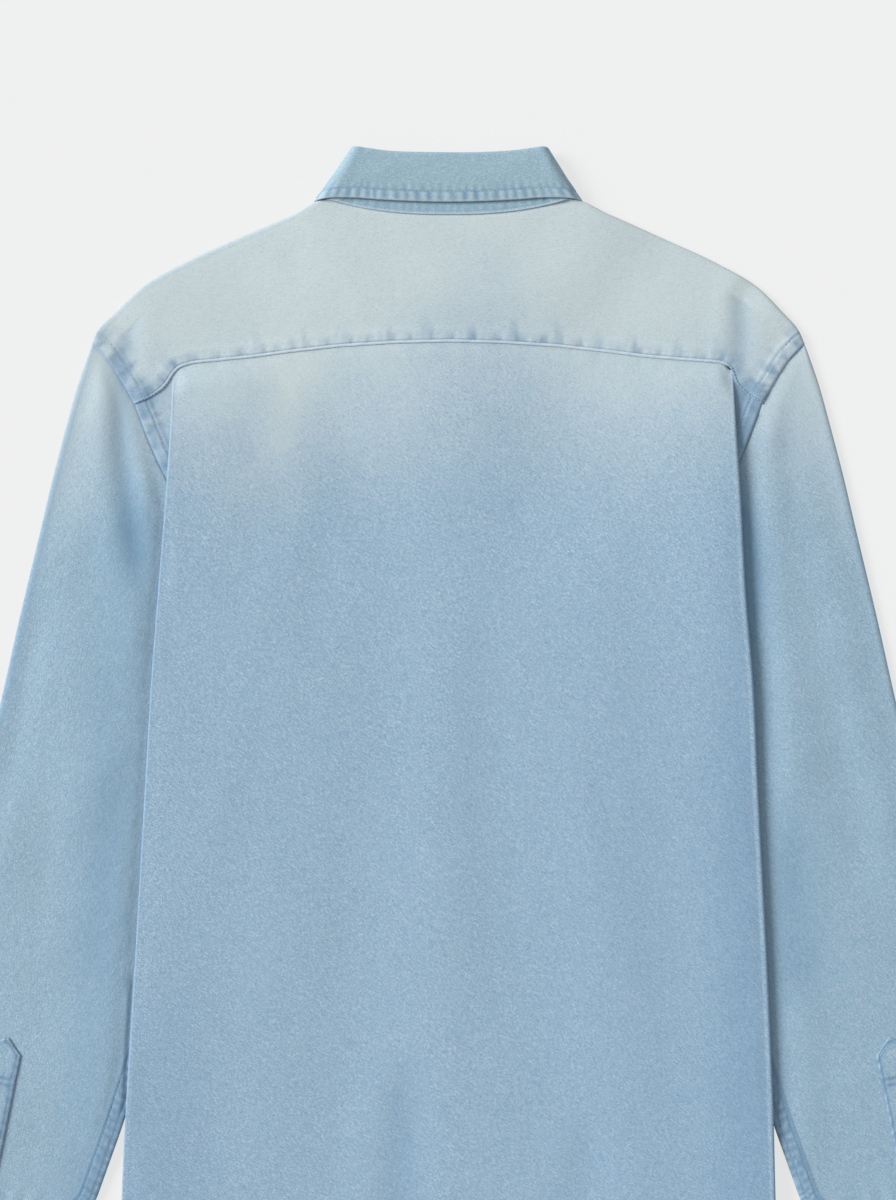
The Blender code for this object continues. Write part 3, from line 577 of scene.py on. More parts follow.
def joined(name, grids, wall, skin, face_up=True, around=False,
           replaces=None, inside=None):
    """One cloth shell from its grids, welded where they share points."""
    points = np.concatenate([g.points.reshape(-1, 3) for g in grids])
    colour = {"wear_and_light": np.concatenate([g.wear_and_light.ravel() for g in grids]),
              "depth": np.concatenate([g.depth.ravel() for g in grids]),
              "fade": np.concatenate([g.fade.ravel() for g in grids])}
    quads, start = [], 0
    for g in grids:
        rows, cols = g.points.shape[:2]
        index = start + np.arange(rows * cols).reshape(rows, cols)
        if around:
            index = np.concatenate([index, index[:, :1]], 1)
        ring = [index[:-1, :-1], index[1:, :-1], index[1:, 1:],
                index[:-1, 1:]]
        quads.append(np.stack(ring[::-1] if g.turned else ring,
                              -1).reshape(-1, 4))
        start += rows * cols
    quads = np.concatenate(quads)
    key = np.round(points / 0.002).astype(np.int64)
    _, first, back = np.unique(key, axis=0, return_index=True,
                               return_inverse=True)
    back = back.ravel()
    points = points[first]
    quads = back[quads]
    faces = []
    for a, b, c, d in quads.tolist():
        ring = []
        for v in (a, b, c, d):
            if v not in ring:
                ring.append(v)
        if len(ring) >= 3:
            faces.append(ring)
    mesh = bpy.data.meshes.new(name)
    mesh.from_pydata((points * MM).tolist(), [], faces)
    mesh.update()
    middle = grids[0].points[grids[0].points.shape[0] // 2,
                             grids[0].points.shape[1] // 3] * MM
    near = min(mesh.polygons, key=lambda f: (
        f.center - Vector(middle)).length_squared)
    if (near.normal.z > 0) != face_up:
        mesh.flip_normals()
    for key_name, values in colour.items():
        layer = mesh.attributes.new(key_name, "FLOAT", "POINT")
        layer.data.foreach_set("value", values[first].astype(np.float32))
    mesh.shade_smooth()
    made = bpy.data.objects.new(name, mesh)
    bpy.context.scene.collection.objects.link(made)
    mesh.materials.append(skin)
    if inside is not None:
        mesh.materials.append(inside)
    solid = made.modifiers.new("wall", "SOLIDIFY")
    solid.thickness = wall * MM
    solid.offset = 0.0
    solid.use_even_offset = False
    if inside is not None:
        solid.material_offset = 1
    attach(made, "root")
    if replaces:
        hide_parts(replaces)
    return made


def sided(points, side):
    out = np.array(points, float)
    out[..., 0] *= side
    return out


def surface_of(made):
    """The shell's evaluated faces, for finding its surface."""
    bpy.context.view_layer.update()
    return BVHTree.FromObject(made, bpy.context.evaluated_depsgraph_get())


def drop(tree, x, y, up=True):
    """Points (mm) and normals where rays straight down, or up, meet it."""
    spots, normals = [], []
    start, way = (60.0, -1.0) if up else (-20.0, 1.0)
    for px, py in zip(np.ravel(x), np.ravel(y)):
        hit, normal, _, _ = tree.ray_cast(
            Vector((px * MM, py * MM, start * MM)), Vector((0, 0, way)))
        if hit is None:
            spots.append((np.nan,) * 3)
            normals.append((0.0, 0.0, -way))
        else:
            if normal.z * way > 0:
                normal = -normal
            spots.append(tuple(v / MM for v in hit))
            normals.append(tuple(normal))
    return np.array(spots), np.array(normals)


# -------------------------------------------------------------------- thread
STITCHES = {}


def stitch_row(owner, spots, normals, pitch=STITCH, thick=0.42, share=0.74,
               sink=0.10):
    """Stitches along a line of surface points (mm)."""
    good = ~np.isnan(spots[:, 0])
    spots, normals = spots[good], normals[good]
    if len(spots) < 3:
        return
    step = np.linalg.norm(np.diff(spots, axis=0), axis=1)
    gone = np.concatenate([[0], np.cumsum(step)])
    breaks = np.concatenate([[0], np.cumsum(step > 7.0)])
    count = int(gone[-1] / pitch)
    if count < 1:
        return
    real = gone[-1] / count
    centre = (np.arange(count) + 0.5) * real
    half = real * share / 2

    def read_at(s, data):
        return np.stack([np.interp(s, gone, data[:, k]) for k in range(3)], 1)
    whole = np.interp(centre - half, gone, breaks) == np.interp(
        centre + half, gone, breaks)
    centre = centre[whole]
    a, m, b = (read_at(centre + k * half, spots) for k in (-1, 0, 1))
    n = read_at(centre, normals)
    n /= np.linalg.norm(n, axis=1, keepdims=True)
    t = b - a
    t /= np.linalg.norm(t, axis=1, keepdims=True)
    w = np.cross(n, t)
    rings = []
    for along, wide in ((-1.0, 0.25), (-0.62, 0.85), (0.0, 1.0),
                        (0.62, 0.85), (1.0, 0.25)):
        base = (a if along < 0 else b) * abs(along) + m * (1 - abs(along))
        base = base + n * (thick * 0.5 * (1 - along * along) - sink
                           - 0.35 * thick * along * along)
        ring = []
        for k in range(5):
            turn = 2 * math.pi * k / 5
            ring.append(base + thick / 2 * wide * (
                w * math.cos(turn) + n * math.sin(turn) * 0.8))
        rings.append(np.stack(ring, 1))
    STITCHES.setdefault(owner, []).append(np.stack(rings, 1))


def sew(owner, tree, line, up=True, **kind):
    """A row of stitches along a line in plan, laid on a shell's surface."""
    line = np.asarray(line, float)
    gone = np.concatenate(
        [[0], np.cumsum(np.linalg.norm(np.diff(line, axis=0), axis=1))])
    n = max(4, int(gone[-1] / 1.2))
    t = np.linspace(0, gone[-1], n)
    x, y = np.interp(t, gone, line[:, 0]), np.interp(t, gone, line[:, 1])
    stitch_row(owner, *drop(tree, x, y, up), **kind)


def finish_stitches(skins):
    for owner, groups in STITCHES.items():
        blocks = np.concatenate(groups)          # stitches, rings, 5, xyz
        count, rings, five = blocks.shape[:3]
        base = np.arange(count)[:, None] * rings * five
        faces = []
        for r in range(rings - 1):
            for k in range(five):
                m = (k + 1) % five
                faces.append([r * five + k, r * five + m,
                              (r + 1) * five + m, (r + 1) * five + k])
        quads = (base[:, None] + np.array(faces)[None]).reshape(-1, 4)
        caps = np.array([[4, 3, 2, 1, 0],
                         [(rings - 1) * five + k for k in range(five)]])
        ends = (base[:, None] + caps[None]).reshape(-1, 5)
        name = "stitches_" + owner
        mesh = bpy.data.meshes.new(name)
        mesh.from_pydata((blocks.reshape(-1, 3) * MM).tolist(), [],
                         quads.tolist() + ends.tolist())
        mesh.update()
        mesh.shade_smooth()
        made = bpy.data.objects.new(name, mesh)
        bpy.context.scene.collection.objects.link(made)
        mesh.materials.append(skins.get(owner, skins[None]))
        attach(made, "root")


# ------------------------------------------------------------- back and front
TOP_STATION = 3        # armhole station of the yoke's seam
STRIP_STATION = 2


def heights(top, bottom, plan):
    """Row heights from top to bottom; plan gives (length, step) at the top,
    the step between, and (length, step) at the bottom."""
    (head, fine), step, (tail, last) = plan
    a = np.arange(top, top - head, -fine)
    z = np.arange(bottom, bottom + tail, last)[::-1]
    n = max(2, int((a[-1] - z[0]) / step))
    return np.concatenate([a[:-1], np.linspace(a[-1], z[0], n), z[1:]])


def station_y(station):
    return ARMHOLE[station]["y"]


def armhole_by_height(y):
    order = np.argsort(ARM.p[:, 1])
    return np.interp(y, ARM.p[order, 1], ARM.p[order, 0])


def back_grids(side):
    rows = heights(FOLD_TOP - 0.4, -363.3, ((26.0, 2.0), 3.9, (12.0, 1.0)))
    share = (rows[0] - rows) / (rows[0] - rows[-1])
    bottom = float(hem_y(crease_x(-363.3, side) - 0.5
                         - 2.2 * CREASE_RADIUS[side]))
    rows = mix(rows[0], bottom, share)
    edge, radius = crease_x(rows, side) - 0.5, crease_radius(rows, side)
    rim = edge - 2.2 * radius
    c = np.concatenate([np.linspace(0, 0.84, 42), np.linspace(0.84, 1, 15)[1:]])
    top_x = c * rim[0]
    top_y = seam_y(top_x, side)
    top_y = top_y + (rows[0] - top_y[-1]) * ease((c - 0.95) / 0.05)
    low_y = hem_y(c * rim[-1])
    low_y[-1] = rows[-1]
    x = rim[:, None] * c[None]
    y = mix(top_y[None], low_y[None], share[:, None])
    row_y = np.broadcast_to(rows[:, None], x.shape)
    z = back_level(x, y, row_y, side)

    # the side fold: roll, return ply, turn
    grown = ease((FOLD_TOP - rows) / 30.0)
    depth = np.maximum((edge - tuck_x(rows)) * grown, 0.02)
    at = np.maximum(rows, UNDERARM)
    rest = sleeve_high(crease_x(at, side), at, side)
    top = back_level(rim, rows, rows, side)
    under = rest + np.minimum(LAYER, (top - rest) / 2)
    end = np.where(rows >= UNDERARM - 0.01, rest, SEAM_LEVEL + 0.15)
    near = np.minimum(radius, depth / 2)
    far = np.maximum(depth - 2.0, depth / 2)
    back_out = np.where(rows >= UNDERARM - 0.01,
                        np.minimum(2.0, depth / 2 + 0.3), 0.0)
    path = [(rim, top), (edge - radius, top), (edge, top), (edge, under),
            (edge - near, under), (edge - depth * 0.35, under),
            (edge - depth * 0.7, under), (edge - far, under),
            (edge - depth, under), (edge - depth, end),
            (edge - depth + back_out, end)]
    path = np.stack([np.stack(p, -1) for p in path], 1)
    path[:, 5, 0] = np.minimum(path[:, 5, 0], path[:, 4, 0])
    path[:, 6, 0] = np.maximum(path[:, 6, 0], path[:, 7, 0])
    path = rounded(path, 3)
    fx, fz = path[..., 0], path[..., 1]
    bottom = np.clip((share - 0.75) / 0.25, 0, 1)[:, None] ** 2
    along = np.where(fz > (top + under)[:, None] / 2, fx,
                     2 * edge[:, None] - fx)
    fy = rows[:, None] + (hem_y(along) - hem_y(along[:, :1])) * bottom
    flat = np.concatenate([x, fx[:, 1:]], 1)
    tall = np.concatenate([y, fy[:, 1:]], 1)
    high = np.concatenate([z, fz[:, 1:]], 1)

    # seam, folds and swell on the upper ply
    upper = np.zeros(flat.shape)
    n = len(c)
    upper[:, :n] = 1.0
    away, run = SEAM[side].near(flat, tall)
    away = np.abs(away)
    sunk = -0.55 * np.exp(-(away / 5.0) ** 2)
    loose = 1.0 - ease((flat - (tuck_x(row_y[:, :1]) - 60.0)) / 50.0)
    fold, bluer = folded(flat, tall, side)
    fold = np.where(fold < 0, fold * (0.25 + 0.75 * loose), fold)
    roll = 1.0 - ease((flat - edge[:, None] + 12.0) / 8.0)
    change = (fold + 0.32 * swell(flat * side, tall, 7)
              + 0.10 * swell(flat * side, tall, 8, 42.0)) * roll
    crest = wave(run * side + 400.0, 17.0, 53)
    below = np.exp(-(away / 9.0) ** 2) * ease(away / 2.0)
    change = change * ease(away / 14.0) + 0.12 * crest * below * ease(
        flat / 5.0)
    high = high + upper * change + sunk
    hem_line = np.concatenate([low_y[None], fy[-1:, 1:]], 1)
    hem_away = tall - hem_line
    lift, hem_wear, hem_depth = hem_band(hem_away, flat * side + 700.0, 71)
    high = high + lift
    rim_shade = np.exp(-((flat - edge[:, None] + 0.1) / 1.5) ** 2)
    wear_and_light = hem_wear
    depth_c = hem_depth + 0.2 * np.clip(-crest, 0, 1) * below
    # a painted shadow line under the yoke's edge, and the folds' deeper blue
    # with painted shade
    depth_c += 0.25 * np.exp(-(away / 1.1) ** 2) + bluer * upper * loose
    # painted shade along the folded side's rolled edge: on the left it tones
    # down the edge that faces the light, on the right it darkens the edge
    # turned from it
    depth_c += (0.45 if side < 0 else 0.4) * rim_shade * ease(
        (FOLD_TOP - tall) / 20.0)
    # painted shade: a little more blue low down and toward the wearer's right
    place = flat * side
    depth_c += upper * (0.07 + 0.20 * ease((place - 10.0) / 150.0)) * ease(
        (190.0 - tall) / 260.0)
    # more painted shade beside the right fold's rolled edge, which the light
    # makes bright; on the left, painted shade low down toward the fold
    if side > 0:
        depth_c += 0.30 * upper * ease((place - 168.0) / 40.0) * ease(
            (250.0 - tall) / 60.0)
    else:
        depth_c += 0.24 * upper * ease((flat - 140.0) / 60.0) * ease(
            (-120.0 - tall) / 120.0)
    points = stack(flat, tall, high)

    # a strip that runs up beneath the yoke's edge
    strip = points[:1].copy()
    strip[..., 1] += 3.2
    strip[..., 2] -= 0.25
    main = Grid(np.concatenate([sided(strip, side), sided(points, side)]),
                np.concatenate([wear_and_light[:1], wear_and_light]),
                np.concatenate([depth_c[:1], depth_c]), None, side < 0)

    # third ply, out to the armhole
    above = rows >= UNDERARM - 0.01
    k = int(above.sum())
    q = np.concatenate([np.linspace(0, 0.3, 5), np.linspace(0.3, 1, 32)[1:]])
    t = (rows[0] - rows[:k]) / (rows[0] - UNDERARM)
    arm_y = mix(station_y(TOP_STATION), UNDERARM, np.clip(t, 0, 1))
    arm_x = armhole_by_height(arm_y)
    sx, sy = flat[:k, -1], tall[:k, -1]
    tx = mix(sx[:, None], arm_x[:, None], q)
    ty = mix(sy[:, None], arm_y[:, None], q)
    curve_y = seam_y(tx[0], side)
    bend = (curve_y - ty[0]) * ease(q / 0.2)
    bend[-1] = 0.0
    ty = ty + bend[None] * (1.0 - ease(t * 4.0))[:, None]
    tz = sleeve_high(tx, ty, side)
    tz[:, 0] = high[:k, -1]
    lift, wear3, depth3 = armhole_band(tx, ty, (side + 1) * 5)
    away = np.abs(SEAM[side].near(tx, ty)[0])
    clear = ease((tx - crease_x(ty, side) + 6.0) / 8.0)
    tz = tz + (lift * clear - 0.75 * np.exp(-(away / 5.0) ** 2)
               * (q > 0)) * ease(q / 0.1)
    # on the right, a painted shadow of the folded side and of the yoke's edge
    # over the triangle out to the armhole
    if side > 0:
        shade = 0.9 * np.exp(-(away / 8.0) ** 2) + 0.35 + 1.3 * np.exp(
            -((tx - crease_x(ty, side)) / 8.0) ** 2)
    else:
        # painted shade under the yoke's edge, and a bite of deep blue below the
        # yoke's corner
        shade = 0.45 * np.exp(-(away / 7.0) ** 2) + 0.16 + 1.5 * np.exp(
            -((tx - 213.0) / 6.5) ** 2 - ((ty - 237.0) / 3.8) ** 2)
    third = stack(tx, ty, tz)
    third[:, 0] = np.stack([sx, sy, high[:k, -1]], -1)
    strip = third[:1].copy()
    strip[..., 0] -= 1.6
    strip[..., 1] += 2.6
    strip[..., 2] -= 0.2
    strip[:, 0] = points[:1, -1]
    strip[:, 0, 1] += 3.2
    strip[:, 0, 2] -= 0.25
    outer = Grid(np.concatenate([sided(strip, side), sided(third, side)]),
                 np.concatenate([wear3[:1], wear3]),
                 np.concatenate([depth3[:1] + shade[:1], depth3 + shade]),
                 None, side < 0)
    return [main, outer]


def hem_band(away, along, seed):
    """A narrow hem: turned edge, hollow at its stitches and puckers."""
    lift = 0.45 * (1.0 - ease((away - 6.2) / 1.6))
    lift -= 0.35 * np.exp(-(away / 0.7) ** 2)
    lift -= 0.25 * np.exp(-((away - 6.2) / 0.8) ** 2)
    crest = wave(along + 0.5 * away, 9.0, seed)
    inside = (1.0 - ease((away - 6.0) / 3.0)) * ease((away + 0.4) / 1.2)
    lift += 0.22 * crest * inside
    wear_and_light = 0.8 * np.clip(crest, 0, 1) * inside + 0.9 * np.exp(
        -((away - 0.3) / 0.9) ** 2)
    depth = 0.8 * np.clip(-crest, 0, 1) * inside + 0.2 * inside
    return lift, wear_and_light, depth


FRONT_TOP = reader(FRONT_NECK, "x", "y")


def front_top(x):
    """Height of a front's upper edge: neckline, then the yoke's seam."""
    slope = (STRIP_END[1] - STRIP_NECK[1]) / (STRIP_END[0] - STRIP_NECK[0])
    return np.where(x <= STRIP_NECK[0], FRONT_TOP(x),
                    STRIP_NECK[1] + (x - STRIP_NECK[0]) * slope)


def front_grids(side):
    rows = heights(278.6, -363.3, ((12.0, 3.0), 5.2, (14.0, 2.2)))
    edge = crease_x(rows, side)
    radius = FOLD_RADIUS
    rim = edge - 1.8
    c = np.concatenate([np.linspace(0, 0.30, 22), np.linspace(0.30, 1, 26)[1:]])
    share = (rows[0] - rows) / (rows[0] - rows[-1])
    top_x = mix(17.8, rim[0], c)
    top_y = front_top(top_x)
    top_y += (rows[0] - top_y[-1]) * ease((c - 0.85) / 0.15)
    low_y = hem_y(mix(17.8, rim[-1], c))
    low_y += rows[-1] - low_y[-1]
    x = mix(17.8, rim[:, None], c[None])
    y = mix(top_y[None], low_y[None], share[:, None])
    z = front_level(x, y, side)
    grown = ease((FOLD_TOP - rows) / 30.0)
    depth = np.maximum((edge - tuck_x(rows)) * grown, 0.02)
    at = np.maximum(rows, UNDERARM)
    rest = sleeve_low(crease_x(at, side), at, side)
    top = front_level(rim, rows, side)
    under = rest - np.minimum(LAYER, np.maximum(rest - top, 0.0) / 2)
    end = np.where(rows >= UNDERARM - 0.01, rest, SEAM_LEVEL - 0.15)
    near = np.minimum(radius, depth / 2)
    far = np.maximum(depth - 2.0, depth / 2)
    out = np.where(rows >= UNDERARM - 0.01,
                   np.minimum(2.0, depth / 2 + 0.3), 0.0)
    path = [(rim, top), (edge - radius, top), (edge, top), (edge, under),
            (edge - near, under), (edge - depth * 0.35, under),
            (edge - depth * 0.7, under), (edge - far, under),
            (edge - depth, under), (edge - depth, end),
            (edge - depth + out, end)]
    path = np.stack([np.stack(p, -1) for p in path], 1)
    path[:, 5, 0] = np.minimum(path[:, 5, 0], path[:, 4, 0])
    path[:, 6, 0] = np.maximum(path[:, 6, 0], path[:, 7, 0])
    path = rounded(path, 3)
    fx, fz = path[..., 0], path[..., 1]
    bottom = np.clip((share - 0.75) / 0.25, 0, 1)[:, None] ** 2
    along = np.where(fz < (top + under)[:, None] / 2, fx,
                     2 * edge[:, None] - fx)
    fy = rows[:, None] + (hem_y(along) - hem_y(along[:, :1])) * bottom
    flat = np.concatenate([x, fx[:, 1:]], 1)
    tall = np.concatenate([y, fy[:, 1:]], 1)
    high = np.concatenate([z, fz[:, 1:]], 1)
    n = len(c)
    room = np.zeros(flat.shape)
    room[:, :n] = ease((x - 30.0) / 40.0) * (
        1.0 - ease((x - tuck_x(rows)[:, None] + 40.0) / 40.0))
    raised = np.abs(swell(flat * side, tall, 17)) * 0.7
    for (p, q, r) in (((150.0, 120.0), (120.0, 0.0), (90.0, -150.0)),
                      ((70.0, 150.0), (96.0, 40.0), (110.0, -60.0)),
                      ((140.0, -120.0), (110.0, -230.0), (96.0, -340.0))):
        away, gone = Line((p, q, r), 8.0, 3.0).near(flat, tall)
        raised = raised + 1.3 * np.exp(-(away / 13.0) ** 2)
    high = high + room * raised
    hem_line = np.concatenate([low_y[None], fy[-1:, 1:]], 1)
    hem_away = tall - hem_line
    lift, hem_wear, hem_depth = hem_band(hem_away, flat + 400.0 * (side + 1),
                                         75 + side)
    high = high - 0.0 * lift
    away = np.abs(STRIP.near(flat, tall)[0])
    sunk = 0.3 * np.exp(-(away / 5.0) ** 2)
    high = high + sunk
    crest = wave(STRIP.near(flat, tall)[1], 15.0, 81)
    wear_and_light = hem_wear + 0.6 * np.exp(-((flat - edge[:, None]) / 1.6) ** 2)
    depth_c = hem_depth + 0.3 * np.clip(-crest, 0, 1) * np.exp(
        -(away / 8.0) ** 2)
    points = stack(flat, tall, high)
    # a strip that runs on inside the yoke's edge
    strip = points[:1].copy()
    strip[..., 1] += 3.4
    strip[..., 2] += 0.5
    main = Grid(np.concatenate([sided(strip, side), sided(points, side)]),
                np.concatenate([wear_and_light[:1], wear_and_light]),
                np.concatenate([depth_c[:1], depth_c]))

    above = rows >= UNDERARM - 0.01
    k = int(above.sum())
    q = np.linspace(0, 1, 16)
    t = np.clip((rows[0] - rows[:k]) / (rows[0] - UNDERARM), 0, 1)
    arm_y = mix(STRIP_END[1] - 0.3, UNDERARM, t)
    arm_x = armhole_by_height(arm_y)
    sx, sy = flat[:k, -1], tall[:k, -1]
    tx = mix(sx[:, None], arm_x[:, None], q)
    ty = mix(sy[:, None], arm_y[:, None], q)
    tz = sleeve_low(tx, ty, side)
    tz = mix(high[:k, -1:], tz, ease(q / 0.25)[None])
    lift, wear3, depth3 = armhole_band(tx, ty)
    clear = ease((tx - crease_x(ty, side) + 6.0) / 8.0)
    tz = tz - 0.6 * lift * clear * ease(q / 0.2) * ease((tz - 0.55) / 0.8)
    third = stack(tx, ty, tz)
    third[:, 0] = np.stack([sx, sy, high[:k, -1]], -1)
    strip = third[:1].copy()
    strip[..., 0] -= 1.6
    strip[..., 1] += 3.2
    strip[..., 2] += 0.5
    strip[:, 0] = points[:1, -1]
    strip[:, 0, 1] += 3.4
    strip[:, 0, 2] += 0.5
    outer = Grid(np.concatenate([sided(strip, side), sided(third, side)]),
                 np.concatenate([wear3[:1], wear3]),
                 np.concatenate([depth3[:1], depth3]))
    return [main, outer]


# ---------------------------------------------------------------------- yoke


def yoke_grids(side):
    count = 118
    at = np.linspace(0, len(YOKE) - 1, count)
    low_rows = columns_of(YOKE, "x", "y")
    top_rows = columns_of(YOKE, "top_x", "top_y")
    top_rows[5, 0] -= 6.5 if side < 0 else 2.2
    if side < 0:
        top_rows[6:10, 0] -= (2.4, 2.2, 1.6, 0.6)
    low = through(low_rows, at)
    # the seam's own line, so that back and yoke share it; the columns are
    # spread along its length where it turns down
    near = SEAM[side].near(low[:, 0], low[:, 1])[1]
    part = np.maximum.accumulate(near / SEAM[side].length)
    part = mix(part, np.linspace(part[0], 1.0, count), 0.35)
    part[0], part[-1] = 0.0, 1.0
    low = SEAM[side].at(part)
    low[-1] = low_rows[-1]
    outline = through(top_rows, at)
    turn = at - NECK_STATION
    # how far in from the shoulder the yoke begins to roll over
    reach = 2.8 * ease(turn / 0.35) + 12.2 * ease(turn / 1.6)
    away, along = SHOULDER.near(outline[:, 0], outline[:, 1])
    normal = SHOULDER.normal(along / SHOULDER.length)      # to the left below
    inward = np.stack([-np.abs(normal[:, 0]), -np.abs(normal[:, 1])], 1)
    arm_way = low_rows[-1] - top_rows[-1]
    arm_way = arm_way / np.linalg.norm(arm_way)
    blend = ease((at - 9.0) / 2.0)[:, None]
    inward = mix(inward, arm_way[None], blend)
    inward /= np.linalg.norm(inward, axis=1, keepdims=True)
    start = outline + inward * reach[:, None]
    share = np.concatenate([np.array([
        0, 0.3, 0.6, 0.9, 1.2, 1.5, 1.8, 2.1, 2.5, 3.0, 3.7, 4.6, 5.7, 7.0,
        8.5, 10.2, 12.0, 14.0, 16.3, 19.0, 22.0, 25.5]) / 92.0,
        np.linspace(0.30, 1, 23)])
    x = mix(low[None, :, 0], start[None, :, 0], share[:, None])
    y = mix(low[None, :, 1], start[None, :, 1], share[:, None])
    # the last columns follow the armhole
    chord = mix(low_rows[-1][None], start[-1][None], share[:, None])
    arm_x = armhole_by_height(chord[:, 1])
    bend = ease((at - 8.0) / 3.0) ** 2
    x = x + (arm_x - chord[:, 0])[:, None] * bend[None]
    z = back_level(x, y, np.full(x.shape, 400.0), side)
    fold, bluer = folded(x, y, side)
    soft = fold + 0.22 * swell(x * side, y, 9, 90.0)
    near_neck = ease((np.hypot(x / 1.25, y - 385.0) - 30.0) / 30.0)
    lift1, wear1, depth1 = yoke_band(x, y, side)
    lift2, wear2, depth2 = armhole_band(x, y, (side + 1) * 5)
    near_arm = 1.0 - ease((np.abs(ARM.near(x, y)[0]) - 16.0) / 8.0)
    away_seam = ease(np.abs(SEAM[side].near(x, y)[0]) / 10.0)
    z = z + soft * near_neck * (1 - 0.7 * near_arm) * (
        0.3 + 0.7 * away_seam) + lift1 + lift2 * near_arm
    wear_and_light = wear1 + wear2 * near_arm
    depth = depth1 + depth2 * near_arm + bluer
    # a bite of deep blue where the armhole's seams gather, and a painted shadow
    # in the corner below the yoke's edge, heavier on the right
    spot = np.hypot(x - 227.5, y - 263.5)
    corner_shade_spot = np.hypot(x - 212.0, y - 248.0)
    depth = depth + (1.7 if side < 0 else 0.3) * np.exp(
        -(spot / 4.5) ** 2) + (0.7 if side < 0 else 1.3) * np.exp(
            -(corner_shade_spot / 7.0) ** 2)
    # past its corner the seam lies in a painted dark line, the shadow of the
    # folded edge
    seam_away = np.abs(SEAM[side].near(x, y)[0])
    depth = depth + (0.5 if side < 0 else 1.0) * np.exp(
        -((seam_away - 0.8) / 1.3) ** 2) * ease((x - 200.0) / 8.0)
    # painted light: less deep blue near the right shoulder's outer edge, which
    # is turned from the light
    if side > 0:
        depth = depth * (1.0 - 0.55 * np.exp(
            -(np.hypot(x - 241.0, y - 286.0) / 13.0) ** 2))
    start = np.stack([x[-1], y[-1]], 1)
    # its edge runs on beneath the collar stand
    neck = np.array([collar_foot(k, side)[:2]
                     for k in range(NECK_STATION + 1)])
    tops = columns_of(COLLAR, "top_x", "top_y")[:NECK_STATION + 1]
    way = tops - neck
    way /= np.linalg.norm(way, axis=1, keepdims=True)
    way = through(way, np.clip(at, 0, NECK_STATION))
    under = np.clip(at - NECK_STATION, 0, 1)[:, None] == 0
    hidden = [np.stack([x, y, z], -1)]
    for far, sink in ((0.7, 0.35), (1.5, 1.15), (3.0, 1.35), (5.0, 1.4)):
        row = np.column_stack([start + way * far * under, z[-1] - sink])
        row[:, 2] = np.where(under[:, 0], row[:, 2], z[-1])
        hidden.append(row[None])
    # the rows beneath the collar stand are a little deeper blue: painted shade
    # under it
    grids = [Grid(sided(np.concatenate(hidden), side),
                  np.concatenate([wear_and_light, np.repeat(wear_and_light[-1:], 4, 0)]),
                  np.concatenate([depth, np.repeat(depth[-1:] + 0.3, 4, 0)]),
                  None, side < 0)]

    # over the shoulder and down the front strip
    first = int(np.argmin(np.abs(at - NECK_STATION)))
    pick = slice(first, count)
    start, outline, reach = start[pick], outline[pick], reach[pick]
    inward, k = inward[pick], count - first
    high = z[-1, pick]
    low_z = front_level(start[:, 0], start[:, 1], side)
    deep = high - low_z
    line = []
    for inn, up in ((1.0, 1.0), (0.66, 1.0), (0.34, 0.985), (0.10, 0.93),
                    (0.0, 0.72), (0.0, 0.38), (0.12, 0.12), (0.40, 0.0),
                    (0.75, 0.0), (1.0, 0.0)):
        plan = outline + (start - outline) * inn
        line.append(np.column_stack([plan, low_z + deep * up]))
    roll = rounded(np.stack(line, 1), 3)
    # the far end of the strip: the front's seam
    part = np.clip((at[pick] - NECK_STATION) / (11 - NECK_STATION), 0, 1)
    part = (outline[:, 0] - 86.0) / (249.3 - 86.0)
    seam = np.stack([mix(STRIP_NECK[0], STRIP_END[0], part),
                     mix(STRIP_NECK[1], STRIP_END[1], part)], 1)
    strip = []
    for s in np.linspace(0, 1, 12)[1:]:
        px = mix(roll[:, -1, 0], seam[:, 0], s)
        py = mix(roll[:, -1, 1], seam[:, 1], s)
        chord_y = mix(roll[-1, -1, 1], seam[-1, 1], s)
        chord_x = mix(roll[-1, -1, 0], seam[-1, 0], s)
        px = px + (armhole_by_height(chord_y) - chord_x) * bend[pick]
        pz = front_level(px, py, side)
        over = ease((part - 0.78) / 0.2)
        pz = mix(pz, sleeve_low(px, py, side), over)
        strip.append(np.column_stack([px, py, pz]))
    body = np.concatenate([roll, np.stack(strip, 1)], 1)
    a = ARM.near(body[..., 0], body[..., 1])[0]
    beside = (1.0 - ease((np.abs(a) - 16.0) / 8.0))
    _, wear3, depth3 = armhole_band(body[..., 0], body[..., 1])
    seam_d = np.abs(STRIP.near(body[..., 0], body[..., 1])[0])
    under = np.zeros(body.shape[:2])
    under[:, roll.shape[1]:] = 1.0
    crest = wave(STRIP.near(body[..., 0], body[..., 1])[1], 15.0, 82)
    wear3 = wear3 * beside + under * np.exp(-(seam_d / 1.2) ** 2)
    depth3 = depth3 * beside + under * 0.5 * np.clip(-crest, 0, 1) * np.exp(
        -(seam_d / 8.0) ** 2)
    # painted shade on the left shoulder's roll, which faces the light
    if side < 0:
        depth3[:, 7:18] += 0.2
    grids.append(Grid(sided(body, side), wear3, depth3, None, side > 0))
    return grids


# ------------------------------------------------------------------- sleeves


